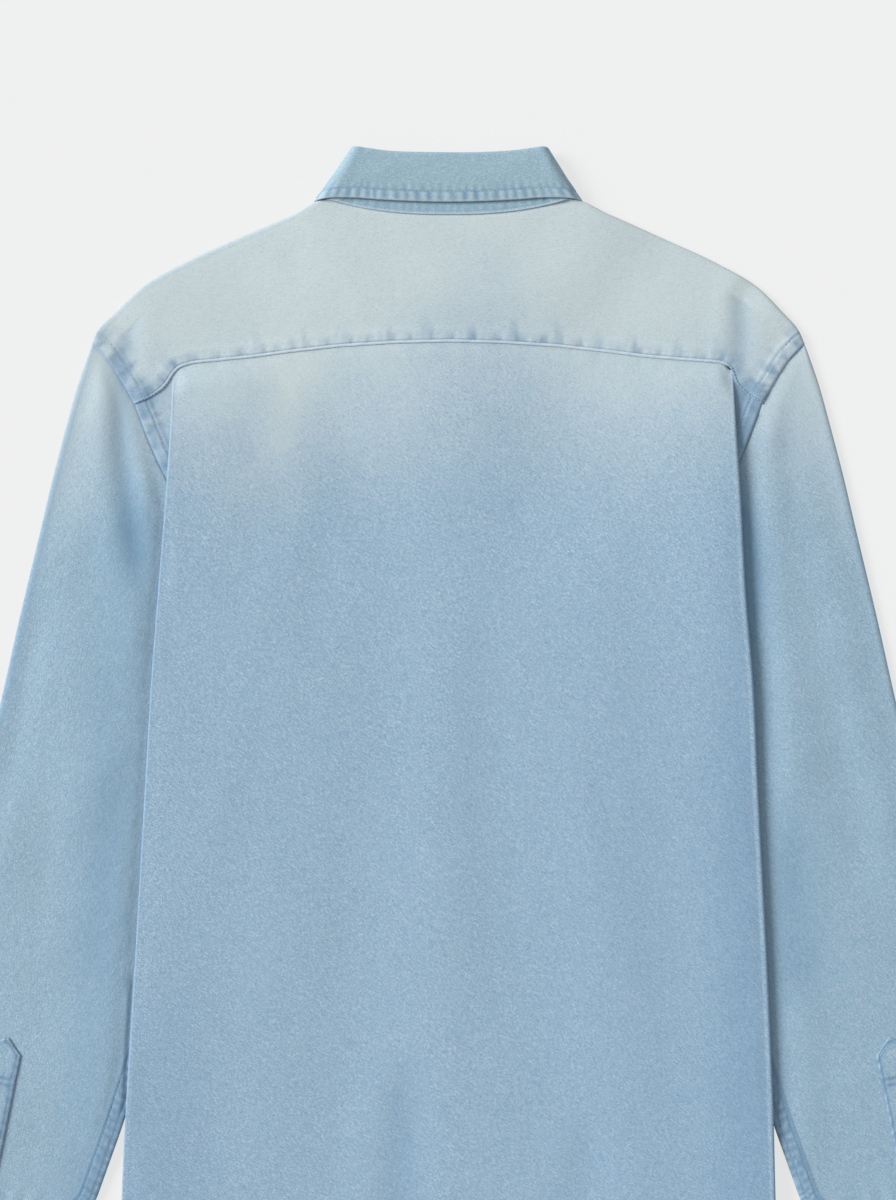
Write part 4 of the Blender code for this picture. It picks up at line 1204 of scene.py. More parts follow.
def sleeve_grids(side):
    fine = np.concatenate([np.linspace(0, 0.05, 12),
                           np.linspace(0.05, 0.93, 138)[1:],
                           np.linspace(0.93, 1, 20)[1:]])
    out, inn = SLEEVE_OUT.at(fine), SLEEVE_IN.at(fine)
    arm0, arm1 = ARM.p[0], np.array([124.3, 107.5])
    out[0] = arm0 + np.array([1.4, 0.4])
    way = inn - out
    length = np.linalg.norm(way, axis=1, keepdims=True)
    way = way / length
    e_out = mix(1.6, 5.5, ease(fine / 0.05))
    e_in = mix(2.0, 3.4, ease(fine / 0.05))
    a = out + way * e_out[:, None]
    b = inn - way * e_in[:, None]
    q = np.linspace(0, 1, 50)
    chord_share = (ARM.p - ARM.p[0]) @ (ARM.p[-1] - ARM.p[0]) / (
        (ARM.p[-1] - ARM.p[0]) ** 2).sum()
    dev = ARM.p - (ARM.p[0] + chord_share[:, None] * (ARM.p[-1] - ARM.p[0]))
    bend = ((1.0 - fine) ** 1.5)[:, None]

    def ply(levels, q):
        x = mix(a[:, :1], b[:, :1], q[None])
        y = mix(a[:, 1:], b[:, 1:], q[None])
        whole = (e_out[:, None] + q[None] * (
            length - e_out[:, None] - e_in[:, None])) / length
        x = x + np.interp(whole, chord_share, dev[:, 0]) * bend
        y = y + np.interp(whole, chord_share, dev[:, 1]) * bend
        return x, y, levels(x, y, side)

    spread = np.concatenate([np.linspace(0, 0.05, 4), np.linspace(
        0.05, 0.87, 34)[1:], np.linspace(0.87, 1, 25)[1:]])
    ux, uy, uz = ply(sleeve_high, spread)
    lx, ly, lz = ply(sleeve_low, np.linspace(0, 1, 24))
    d_out = np.abs(SLEEVE_OUT.near(ux, uy)[0])
    d_in = np.abs(SLEEVE_IN.near(ux, uy)[0])
    beyond = ux - crease_x(uy, side)
    free = ease((beyond - 1.0) / 16.0) if side < 0 else ease(
        (beyond - 5.0) / 24.0)
    arm_d = np.abs(ARM.near(ux, uy)[0])
    puff = 1.5 * ease((d_out - 4.0) / 26.0) * ease((d_in - 3.0) / 18.0)
    fold, bluer = folded(ux, uy, side)
    soft = fold + 0.42 * swell(ux * side, uy, 12 + side, 95.0) \
        + 0.10 * swell(ux * side, uy, 14 + side, 36.0)
    edge_off = ease((d_out - 3.0) / 14.0)
    near_arm = ease((arm_d - 1.0) / 14.0)
    uz = uz + (puff + soft * edge_off) * free * near_arm * landed(uy - 22.0)
    # on the left it lies against the body's fold; on the right it drops
    # away from it and leaves a valley
    grown = ease((205.0 - uy) / 60.0) * landed(uy - 22.0) * ease(
        (arm_d - 4.0) / 14.0)
    if side < 0:
        uz = uz + 1.8 * grown * ease((beyond - 1.1) / 3.2) * (
            1.0 - ease((beyond - 4.0) / 70.0))
        # painted shade beside the body's fold, where the lifted cloth tilts
        # toward the light and would look bright
        beside = ease((205.0 - uy) / 60.0) * ease((beyond + 1.0) / 3.0) * (
            0.26 + 0.12 * ease((beyond - 8.0) / 16.0)) * (
                1.0 - ease((beyond - 26.0) / 36.0))
    else:
        grown = ease((235.0 - uy) / 50.0) * landed(uy - 22.0)
        # the valley is shallower lower down
        shallow = 1.0 - 0.9 * ease((70.0 - uy) / 150.0)
        uz = uz - 1.0 * grown * shallow * ease((beyond - 0.8) / 4.0) * np.exp(
            -(np.maximum(beyond - 6.0, 0.0) / 13.0) ** 2)
        low = lx - crease_x(ly, side)
        lz = lz - 2.0 * ease((235.0 - ly) / 50.0) * landed(ly - 22.0) * ease(
            (low - 1.4) / 5.0) * np.exp(
                -(np.maximum(low - 8.0, 0.0) / 10.0) ** 2)
        lz = np.maximum(lz, FLOOR_PLY)
        # painted shadow of the body's fold on the right sleeve, darkest near
        # the top of the valley, with a little more lower down the sleeve
        shadow_strength = 0.6 - 0.3 * ease((70.0 - uy) / 150.0) + 1.5 * np.exp(
            -((uy - 121.0) / 34.0) ** 2)
        beside = shadow_strength * grown * (0.75 * np.exp(
            -(np.maximum(beyond, 0.0) / 6.5) ** 2) + 0.45 * np.exp(
                -(np.maximum(beyond, 0.0) / 17.0) ** 2)) + 0.10 * ease(
                    (150.0 - uy) / 200.0)
    # hangs a little lower right beside the armhole's edge
    uz = uz - 0.45 * np.exp(-(arm_d / 4.0) ** 2)
    # gathers into the cuff
    cuff_d = ((1.0 - fine) * SLEEVE_OUT.length)[:, None]
    span = spread[None] * 125.0
    gather = 0.8 * wave(span + 0.05 * cuff_d, 17.0, 21 + side) * np.exp(
        -(cuff_d / 22.0) ** 2) * ease((ux - ux[:, :1]) / -12.0)
    uz = uz + gather * ease((d_out - 2.0) / 10.0) * ease((d_in - 2.0) / 10.0)

    # felled seam beside the inner fold
    seam_d = d_in
    lift = 0.45 * (1.0 - ease((seam_d - 11.4) / 2.2))
    groove = -0.45 * np.exp(-((seam_d - 10.8) / 0.7) ** 2) - 0.40 * np.exp(
        -((seam_d - 3.6) / 0.7) ** 2)
    seam_run = SLEEVE_IN.near(ux, uy)[1]
    crest = np.tanh(2.0 * wave(seam_run + 0.4 * seam_d, 6.6, 31 + side))
    inside = (1.0 - ease((seam_d - 9.3) / 1.6))
    show = ease((-95.0 - uy) / 80.0)
    uz = uz + (lift + groove + 0.34 * crest * inside) * show
    fleck = wave(seam_run - 0.9 * seam_d, 4.2, 35 + side)
    # paleness of the felled seam's rubbed crests; on the right a pale outer
    # edge, partly rubbed and partly painted light, as it is turned from the
    # light
    wear_and_light = show * (0.5 * np.clip(crest, 0, 1) * inside) + (
        0.0 if side < 0 else 0.2) * np.exp(-(d_out / 2.0) ** 2)
    # painted light along the right sleeve's outer edge near the shoulder, which
    # is turned from the light; on the left, painted light in the dark groove
    # beside the body's fold
    if side > 0:
        wear_and_light = wear_and_light + 0.3 * np.exp(-(d_out / 16.0) ** 2) * ease(
            (uy - 110.0) / 70.0)
    else:
        wear_and_light = wear_and_light + 0.45 * grown * np.exp(-((beyond - 1.5) / 3.0) ** 2)
    depth = show * (0.8 * np.clip(-crest, 0, 1) * inside + 0.30 * inside
                    + 0.6 * np.exp(-((seam_d - 12.4) / 0.9) ** 2)
                    + 0.6 * np.clip(fleck, 0, 1) * inside
                    + 1.7 * np.exp(-((seam_d - 11.0) / 0.75) ** 2)
                    + 1.4 * np.exp(-((seam_d - 3.6) / 0.75) ** 2))
    # painted shade along the left sleeve's outer edge, which faces the light
    if side < 0:
        depth = depth + 0.35 * np.exp(-(d_out / 5.0) ** 2)
    # painted shade beside the armhole's edge, the folds' deeper blue with
    # painted shade, and the painted shade beside the body's fold
    depth = depth + 0.45 * np.exp(-(arm_d / 1.6) ** 2) + bluer * ease(
        beyond / 8.0) + beside

    def fold(edge_points, near_pts, e, hi, lo):
        """Round from the upper ply to the lower one over a folded edge."""
        line = []
        for share, up in ((1.0, 1.0), (0.62, 0.985), (0.26, 0.90),
                          (0.0, 0.68), (0.0, 0.32), (0.26, 0.06),
                          (0.62, 0.0), (1.0, 0.0)):
            plan = edge_points + (near_pts - edge_points) * share
            line.append(np.column_stack([plan, mix(lo, hi, up)]))
        return rounded(np.stack(line, 1), 2)

    near_out = np.stack([ux[:, 0], uy[:, 0]], 1)
    near_in = np.stack([ux[:, -1], uy[:, -1]], 1)
    f_out = fold(out, near_out, e_out, uz[:, 0], lz[:, 0])
    f_in = fold(inn, near_in, e_in, uz[:, -1], lz[:, -1])
    loop = np.concatenate([
        stack(ux, uy, uz), f_in[:, 1:-1],
        stack(lx, ly, lz)[:, ::-1], f_out[:, ::-1][:, 1:-1]], 1)
    extra = loop.shape[1] - ux.shape[1]
    wear_and_light = np.concatenate([wear_and_light, np.full((len(fine), extra), 0.1)], 1)
    depth = np.concatenate([depth, np.zeros((len(fine), extra))], 1)
    # painted shade on the left sleeve's outer roll, which faces the light
    if side < 0:
        depth[:, -8:] = 0.45
    rim_cols = slice(ux.shape[1], ux.shape[1] + 7)
    wear_and_light[:, rim_cols] = show[:, -1:] * 0.5 * np.clip(crest[:, -1:], 0, 1)
    depth[:, rim_cols] = show[:, -1:] * (
        0.45 + 0.6 * np.clip(-crest[:, -1:], 0, 1))
    # its raw edge runs on beneath the body's edge
    tuck_in = loop[:1].copy()
    toward = np.array([150.0, 250.0]) - tuck_in[..., :2]
    toward /= np.linalg.norm(toward, axis=-1, keepdims=True)
    tuck_in[..., :2] += toward * 3.4
    tuck_in[..., 2] = mix(tuck_in[..., 2], 2.2, 0.18)
    loop = np.concatenate([tuck_in, loop])
    wear_and_light = np.concatenate([wear_and_light[:1], wear_and_light])
    depth = np.concatenate([depth[:1], depth])
    return [Grid(sided(loop, side), wear_and_light, depth)]


# ------------------------------------------------------------ cuffs, plackets


def cuff_grids(side):
    tilt = math.radians(CUFF_TILT)
    axis = np.array([math.sin(tilt), -math.cos(tilt)])
    across = np.array([-math.cos(tilt), -math.sin(tilt)])
    half = CUFF_W / 2
    low, high, lap = CUFF_WALL / 2, 2.9, 4.95
    turn = (high - low) / 2
    section = [(-0.5, lap), (-8.0, lap), (-15.0, lap), (-22.0, lap),
               (-31.0, (lap + high) / 2), (-38.0, high + 0.1),
               (-48.0, high), (-half + turn, high), (-half, high),
               (-half, low), (-half + turn, low), (-40.0, low),
               (-20.0, low), (0.0, low), (20.0, low), (40.0, low),
               (half - turn, low), (half, low), (half, high),
               (half - turn, high), (46.0, high), (34.0, high),
               (22.0, high), (10.0, high), (0.0, high), (-10.0, high),
               (-19.0, high)]
    path = rounded(np.array(section)[None], 3)[0]
    gone = np.concatenate([[0], np.cumsum(np.linalg.norm(
        np.diff(path, axis=0), axis=1))])
    share = np.concatenate([np.linspace(0, 0.14, 6), np.linspace(
        0.14, 0.86, 18)[1:], np.linspace(0.86, 1, 6)[1:]])
    rows = []
    for s in share:
        place = np.array(CUFF_CENTRE) + axis * (0.1 + CUFF_L * s)
        xy = place[None] + across[None] * path[:, :1]
        d = CUFF_L * min(s, 1 - s)
        lift = -0.25 * math.exp(-(d / 0.8) ** 2) - 0.22 * math.exp(
            -((d - 6.0) / 0.8) ** 2)
        outward = np.where(path[:, 1] > 1.9, 1.0, 0.0)
        ends = np.minimum(gone, gone[-1] - gone)
        crest = wave(gone, 9.0, 91 + side) * (1 - ease((d - 5.0) / 2.0))
        z = path[:, 1] + outward * (lift + 0.13 * crest
                                    - 0.25 * np.exp(-(ends / 0.8) ** 2))
        rows.append(np.column_stack([xy, z]))
    points = np.stack(rows)
    d = CUFF_L * np.minimum(share, 1 - share)[:, None]
    ends = np.minimum(gone, gone[-1] - gone)[None]
    rim = np.minimum(d, ends)
    crest = wave(gone + 0 * d, 9.0, 91 + side)
    band = 1 - ease((rim - 5.0) / 2.0)
    wear_and_light = 0.9 * np.exp(-(rim / 1.3) ** 2) + 0.6 * np.clip(crest, 0, 1) * band
    depth = 0.6 * np.clip(-crest, 0, 1) * band + 0.45 * np.exp(
        -((rim - 6.0) / 0.8) ** 2)
    return [Grid(sided(points, side), wear_and_light, depth, 0.12)]


def placket_grids(side, tree):
    """A sleeve placket, laid on the sleeve's surface."""
    tilt = math.radians(PLACKET_TILT)
    down = np.array([math.sin(tilt), -math.cos(tilt)])
    out = np.array([math.cos(tilt), math.sin(tilt)])
    half = PLACKET_W / 2
    tip = np.array(PLACKET_TIP)
    along = np.concatenate([np.linspace(0, PLACKET_POINT, 16), np.linspace(
        PLACKET_POINT, 45.0, 46)[1:], np.linspace(45.0, 99.0, 45)[1:]])
    width = np.minimum(half, 1.0 + (half - 1.0) * along / PLACKET_POINT)
    c = np.concatenate([[-1, -0.97, -0.94, -0.9, -0.86, -0.82, -0.78, -0.73],
                        np.linspace(-0.66, 0.66, 13),
                        [0.73, 0.78, 0.82, 0.86, 0.9, 0.94, 0.97, 1]])
    plan = (tip[None, None] + down * along[:, None, None]
            + out * (width[:, None] * c[None])[..., None])
    spots, _ = drop(tree, plan[..., 0] * side, plan[..., 1])
    base = spots[:, 2].reshape(plan.shape[:2])
    base = np.where(np.isnan(base), 4.3, base)
    for _ in range(3):                      # the placket bridges small hollows
        base[1:-1] = np.maximum(base[1:-1], (base[:-2] + base[2:]) / 2)
    rim = np.minimum((1 - np.abs(c))[None] * width[:, None],
                     along[:, None] * 0.7 + 0.0)
    last = 99.0 - along[:, None]
    lift = CLOTH / 2 + 0.12 + 0.55 * ease(rim / 2.2)
    lift = lift - 0.34 * np.exp(-((rim - 2.2) / 0.55) ** 2)
    bar = np.minimum(np.abs(along[:, None] - 28.0),
                     np.abs(along[:, None] - 32.5))
    lift = lift - 0.34 * np.exp(-(bar / 0.8) ** 2)
    crest = wave(along[:, None] + 4.0 * c[None], 8.0, 95 + side)
    cross = wave(c[None] * half + 40.0 + 0 * rim, 5.0, 97 + side)
    at_bar = np.exp(-((along[:, None] - 30.0) / 9.0) ** 2)
    lift = lift + 0.22 * crest * (1 - ease((rim - 2.0) / 3.0)) * ease(rim) \
        + 0.16 * cross * at_bar * ease(rim / 2.0)
    z = base + np.maximum(lift, CLOTH / 2 + 0.1)
    wear_and_light = 0.25 * np.exp(-(rim / 0.9) ** 2) + 0.6 * np.clip(crest, 0, 1) * (
        1 - ease((rim - 1.5) / 3.0)) + 0.5 * np.clip(cross, 0, 1) * at_bar
    depth = 0.8 * np.clip(-crest, 0, 1) * (1 - ease((rim - 1.5) / 3.0)) \
        + 1.6 * np.exp(-(bar / 0.9) ** 2) + 1.5 * np.exp(
            -((rim - 2.2) / 0.65) ** 2) + 0.35 * (
            1 - ease((rim - 2.5) / 4.0)) + 0.5 * at_bar * (
                0.6 + 0.4 * np.clip(-cross, 0, 1))
    return [Grid(sided(stack(plan[..., 0], plan[..., 1], z), side),
                 wear_and_light, depth)]


# -------------------------------------------------------------------- collar


def collar_foot(k, side):
    """The neckline beneath a collar station."""
    if k <= NECK_STATION:
        x, y = YOKE[k]["top_x"], YOKE[k]["top_y"]
        return x, y, back_level(x, y, 400.0, side)
    neck_high = back_level(86.0, 381.2, 400.0, side)
    neck_low = front_level(86.0, 381.2, side)
    if k == 5:
        return 86.6, 380.6, (neck_high + neck_low) / 2
    if k == 6:
        return 85.8, 379.4, neck_low
    if k == 7:
        return 80.0, 364.8, front_level(80.0, 364.8, side)
    spots = ((74.0, 350.0), (66.0, 333.0), (45.0, 317.0), (20.0, 308.0))
    x, y = spots[k - 8]
    return x, y, front_level(x, y, side)


def collar_stations(side):
    made = []
    for k, row in enumerate(COLLAR):
        if k == len(COLLAR) - 1:
            foot = (5.0, BAND_TOP + 0.3, STAND_END[side])
        else:
            foot = collar_foot(k, side)
        foot = np.array([float(v) for v in foot])
        top = np.array([row["top_x"], row["top_y"]])
        way = top - foot[:2]
        way /= np.linalg.norm(way)
        along = np.array([way[0], way[1], 0.0])
        turn = math.radians(row["turn"])
        lean = np.array([way[1] * math.cos(turn), -way[0] * math.cos(turn),
                         math.sin(turn)])
        level = foot[2]
        if side > 0 and row["name"] == "front 3":
            level = 5.3
        made.append({"foot": np.array([foot[0], foot[1], level]),
                     "top": np.array([top[0], top[1], level]),
                     "edge": np.array([row["edge_x"], row["edge_y"],
                                       row["edge_z"]]),
                     "along": along, "lean": lean, "turn": row["turn"],
                     "belly": BELLY.get(row["name"], 0.0) * (
                         0.7 if side < 0 else 1.0)})
    return made


def stations_round(make):
    """Sections of the left half, reversed, and of the right half, as one."""
    halves = {side: [sided(make(s, side), side)
                     for s in collar_stations(side)] for side in (-1, 1)}
    return halves[-1][::-1] + halves[1][1:]


def even(sections, count, measure):
    """Sections spread evenly by the length of one of their lines."""
    p = np.stack(sections)
    dense = through(p, np.linspace(0, len(p) - 1, 900))
    step = np.linalg.norm(np.diff(dense[:, measure], axis=0), axis=1)
    gone = np.concatenate([[0], np.cumsum(step)])
    pick = np.interp(np.linspace(0, gone[-1], count), gone, np.arange(900))
    i = np.clip(pick.astype(int), 0, 898)
    t = (pick - i)[:, None, None]
    return dense[i] * (1 - t) + dense[i + 1] * t, np.linspace(
        0, gone[-1], count)


def leaf_grid():
    def section(s, side):
        top, edge = s["top"], s["edge"]
        along, lean = s["along"], s["lean"]
        radius = abs(edge[2] - top[2]) / 2
        if s["turn"] == 90:
            radius = 2.1
        elif abs(s["turn"]) < 90:
            radius = mix(1.55, 2.2, (1.0 + lean[2]) / 2)
        start = top + along * 0.45
        over = start + lean * 2 * radius
        bulge = 1.2 * max(0.0, math.sin(math.radians(s["turn"])))
        out = np.array([s["belly"], 0.0, 0.0])
        line = [start, start + along * radius * 0.55 + out * 0.3, start
                + along * radius * 1.0 + lean * radius * 0.35 + out * 0.8,
                start + along * radius * 1.0 + lean * radius * 1.65 + out,
                over + along * radius * 0.5 + out]
        for share in (0.0, 0.2, 0.45, 0.7, 0.88, 1.0):
            point = over + (edge - over) * share + out * (1.0 - share)
            point = point + np.array([0, 0, bulge * math.sin(math.pi * share)])
            line.append(point)
        return np.array(line)
    sections, run = even(stations_round(section), 300, -1)
    sections = averaged(sections, 2.0)
    grid = rounded(sections, 4)
    # finer rows near the edge
    gone = np.concatenate([np.zeros((len(grid), 1)), np.cumsum(
        np.linalg.norm(np.diff(grid, axis=1), axis=2), axis=1)], 1)
    total = gone[:, -1:]
    want = np.concatenate([np.linspace(0, 0.22, 12), np.linspace(
        0.22, 0.74, 14)[1:], np.linspace(0.74, 1, 15)[1:]])
    out = np.empty((len(grid), len(want), 3))
    for k in range(len(grid)):
        for axis in range(3):
            out[k, :, axis] = np.interp(want * total[k], gone[k],
                                        grid[k, :, axis])
    rim = total * (1 - want[None])
    du = np.gradient(out, axis=0)
    dv = np.gradient(out, axis=1)
    n = np.cross(du, dv)
    n /= np.linalg.norm(n, axis=2, keepdims=True)
    centre = len(out) // 2
    if n[centre, 25, 2] < 0:
        n = -n
    lift = -0.30 * np.exp(-((rim - LEAF_STITCH) / 0.8) ** 2)
    lift -= 0.45 * np.exp(-(rim / 0.7) ** 2)
    crest = wave(run[:, None] + 0.1 * rim, 7.2, 101, 0.5)
    inside = (1.0 - ease((rim - LEAF_STITCH + 1.2) / 1.4)) * ease(rim / 1.6)
    beyond = np.exp(-((rim - LEAF_STITCH - 2.4) / 2.6) ** 2)
    lift += 0.24 * crest * inside + 0.10 * wave(
        run[:, None], 6.0, 103) * beyond
    lift += 0.14 * swell(run[:, None] + 0 * rim, rim * 3.0, 104, 55.0) \
        * ease((rim - 9.0) / 8.0)
    out = out + n * lift[..., None]
    wear_and_light = 0.75 * np.clip(crest, 0, 1) * inside + 0.85 * np.exp(
        -((rim - 0.5) / 1.0) ** 2) + 0.45 * np.clip(
            wave(run[:, None], 6.0, 103), 0, 1) * beyond
    depth = 1.0 * np.clip(-crest, 0, 1) * inside + 0.7 * np.exp(
        -((rim - LEAF_STITCH) / 0.7) ** 2)
    depth += 0.6 * np.clip(-wave(run[:, None], 6.0, 103), 0, 1) * beyond
    return Grid(out, wear_and_light, depth, 0.10), run


STAND_SHARES = (0.0, 0.014, 0.028, 0.042, 0.058, 0.078, 0.10, 0.13, 0.16,
                0.20, 0.25, 0.31, 0.38, 0.48, 0.6, 0.74, 0.88, 1.0)


def stand_grid():
    def section(s, side):
        foot = s["foot"] + s["along"] * 0.2
        top = s["top"] - s["along"] * 0.5
        up = 1.0 if s["turn"] == 90 else 0.0
        if s["turn"] == 60:
            up = 0.4
        line = []
        for share in STAND_SHARES:
            point = foot + (top - foot) * share
            point[2] += up * 0.75 * (1.0 - ease(share / 0.5))
            line.append(point)
        return np.array(line)
    halves = {side: [sided(section(s, side), side)
                     for s in collar_stations(side)] for side in (-1, 1)}
    for side in (-1, 1):
        tab = np.array([STAND_TAB[0], BAND_TOP + 0.6, STAND_END[side]])
        corner = np.array([STAND_TAB[0] + 3.0, STAND_TAB[1],
                           STAND_END[side]])
        rows = [tab + (corner - tab) * s for s in STAND_SHARES]
        halves[side].append(sided(np.array(rows), side))
    sections, run = even(halves[-1][::-1] + halves[1][1:], 250, 0)
    grid = averaged(sections, 1.6)
    rise = np.linalg.norm(grid - grid[:, :1], axis=2)
    lift = -0.2 * np.exp(-(rise / 0.6) ** 2) - 0.22 * np.exp(
        -((rise - 1.6) / 0.6) ** 2)
    crest = wave(run[:, None] + 0 * rise, 6.5, 111, 0.4)
    near = np.exp(-((rise - 4.0) / 2.6) ** 2)
    lift += 0.16 * crest * near
    grid[..., 2] += lift * np.where(grid[..., 2] > 7.4, 1.0, 0.0)
    wear_and_light = 1.0 * np.exp(-((rise - 0.5) / 0.7) ** 2) + 0.35 * np.clip(
        crest, 0, 1) * near
    depth = 0.12 + 0.5 * np.clip(-crest, 0, 1) * near
    depth = depth * ease(rise / 1.4)
    return Grid(grid, wear_and_light, depth, 0.0), run


def band_grid(side):
    level = BAND_LEVEL[side]
    y = np.concatenate([np.arange(BAND_TOP - 0.3, BAND_TOP - 12, -1.5),
                        np.linspace(BAND_TOP - 12, HEM_CENTRE + 10, 190),
                        np.linspace(HEM_CENTRE + 10, HEM_CENTRE, 7)[1:]])
    x = np.array([-17.6, -17.0, -16.0, -14.8, -13.6, -12.4, -10.8, -8.0,
                  -4.0, 0.0, 4.0, 8.0, 10.8, 12.4, 13.6, 14.8, 16.0, 17.0,
                  17.6])
    rim = np.minimum(17.6 - np.abs(x)[None], (y - y[-1])[:, None] + 0.0)
    crest = wave(y[:, None] + 12 * np.sign(x)[None], 9.0, 121 + side)
    inside = (1 - ease((rim - 3.6) / 1.6)) * ease(rim / 1.0)
    lift = 0.16 * np.exp(-(rim / 0.7) ** 2) + 0.14 * np.exp(
        -((rim - 4.0) / 0.7) ** 2) - 0.16 * crest * inside
    z = level + lift
    wear_and_light = 0.9 * np.exp(-(rim / 1.0) ** 2) + 0.6 * np.clip(
        crest, 0, 1) * inside
    depth = 0.6 * np.clip(-crest, 0, 1) * inside
    return Grid(stack(x[None] + 0 * y[:, None], y[:, None] + 0 * x[None], z),
                wear_and_light, depth)


# ------------------------------------------------------------------- buttons


def button_mesh(name, centre, up, skin, replaces):
    """A four-hole button with a raised rim and a dished middle."""
    rings, segments = [], 40
    profile = [(0.0, 1.55), (2.0, 1.5), (2.9, 1.62), (3.5, 2.05),
               (4.3, 2.36), (5.0, 2.32), (5.5, 1.95), (5.72, 1.35),
               (5.6, 0.75), (5.1, 0.28), (4.0, 0.05), (0.0, 0.0)]
    verts, faces = [], []
    for r, z in profile:
        ring = []
        for k in range(segments):
            if r == 0.0 and k:
                ring.append(ring[0])
                continue
            t = 2 * math.pi * k / segments
            verts.append((r * math.cos(t), r * math.sin(t), z))
            ring.append(len(verts) - 1)
        rings.append(ring)
    for a, b in zip(rings, rings[1:]):
        for k in range(segments):
            m = (k + 1) % segments
            face = []
            for v in (a[k], b[k], b[m], a[m]):
                if v not in face:
                    face.append(v)
            faces.append(face)
    mesh = bpy.data.meshes.new(name)
    flip = 1.0 if up else -1.0
    cx, cy, cz = centre
    mesh.from_pydata([((cx + x) * MM, (cy + y * flip) * MM,
                       (cz + (z if up else 2.4 - z)) * MM)
                      for x, y, z in verts], [], faces)
    mesh.update()
    made = bpy.data.objects.new(name, mesh)
    bpy.context.scene.collection.objects.link(made)
    mesh.materials.append(skin)
    # four holes, cut through
    drill = bpy.data.meshes.new(name + "_drill")
    dv, df = [], []
    for hx, hy in ((-1.15, -1.15), (1.15, -1.15), (1.15, 1.15),
                   (-1.15, 1.15)):
        base = len(dv)
        for z in (-1.0, 3.4):
            for k in range(12):
                t = 2 * math.pi * k / 12
                dv.append(((cx + hx + 0.62 * math.cos(t)) * MM,
                           (cy + hy + 0.62 * math.sin(t)) * MM,
                           (cz + z) * MM))
        for k in range(12):
            m = (k + 1) % 12
            df.append((base + k, base + m, base + 12 + m, base + 12 + k))
        df.append(tuple(base + k for k in range(11, -1, -1)))
        df.append(tuple(base + 12 + k for k in range(12)))
    drill.from_pydata(dv, [], df)
    drill.update()
    cutter = bpy.data.objects.new(name + "_drill", drill)
    bpy.context.scene.collection.objects.link(cutter)
    cut = made.modifiers.new("holes", "BOOLEAN")
    cut.operation, cut.object, cut.solver = "DIFFERENCE", cutter, "EXACT"
    bpy.context.view_layer.update()
    done = bpy.data.meshes.new_from_object(
        made.evaluated_get(bpy.context.evaluated_depsgraph_get()))
    made.modifiers.clear()
    made.data = done
    bpy.data.objects.remove(cutter, do_unlink=True)
    done.shade_smooth()
    done.set_sharp_from_angle(angle=math.radians(42))
    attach(made, "root")
    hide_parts(replaces)
    return made


def button_thread(owner, centre, up):
    """Two bars of thread through a button's holes."""
    cx, cy, cz = centre
    level = cz + (1.75 if up else 0.65)
    n = (0.0, 0.0, 1.0 if up else -1.0)
    for sign in (-1, 1):
        for off in (-0.16, 0.16):
            line = np.array([[cx - 1.3, cy + sign * 1.15 + off, level],
                             [cx, cy + sign * 1.15 + off, level
                              + (0.12 if up else -0.12)],
                             [cx + 1.3, cy + sign * 1.15 + off, level]])
            stitch_row(owner, line, np.array([n] * 3), pitch=2.6,
                       thick=0.42, share=1.0, sink=0.0)


def buttonhole(owner, tree, centre, angle, up, length=14.0):
    """A worked buttonhole: close stitches down both lips and bar tacks."""
    ca, sa = math.cos(angle), math.sin(angle)
    for lip in (-0.75, 0.75):
        for k in np.arange(-length / 2, length / 2 + 0.01, 0.62):
            a = np.array([[k, lip - 0.62], [k, lip], [k, lip + 0.62]])
            x = centre[0] + a[:, 0] * ca - a[:, 1] * sa
            y = centre[1] + a[:, 0] * sa + a[:, 1] * ca
            stitch_row(owner, *drop(tree, x, y, up), pitch=1.24, thick=0.5,
                       share=0.98, sink=0.05)
    for end in (-length / 2 - 0.4, length / 2 + 0.4):
        for k in (-0.3, 0.3):
            a = np.array([[end + k, -1.3], [end + k, 0.0], [end + k, 1.3]])
            x = centre[0] + a[:, 0] * ca - a[:, 1] * sa
            y = centre[1] + a[:, 0] * sa + a[:, 1] * ca
            stitch_row(owner, *drop(tree, x, y, up), pitch=2.6, thick=0.55,
                       share=0.98, sink=0.05)


# ----------------------------------------------------------------- materials


def linear(r, g, b):
    """A colour from its 0 to 255 display values."""
    out = []
    for v in (r, g, b):
        v /= 255.0
        out.append(v / 12.92 if v <= 0.04045 else ((v + 0.055) / 1.055)**2.4)
    return (*out, 1.0)


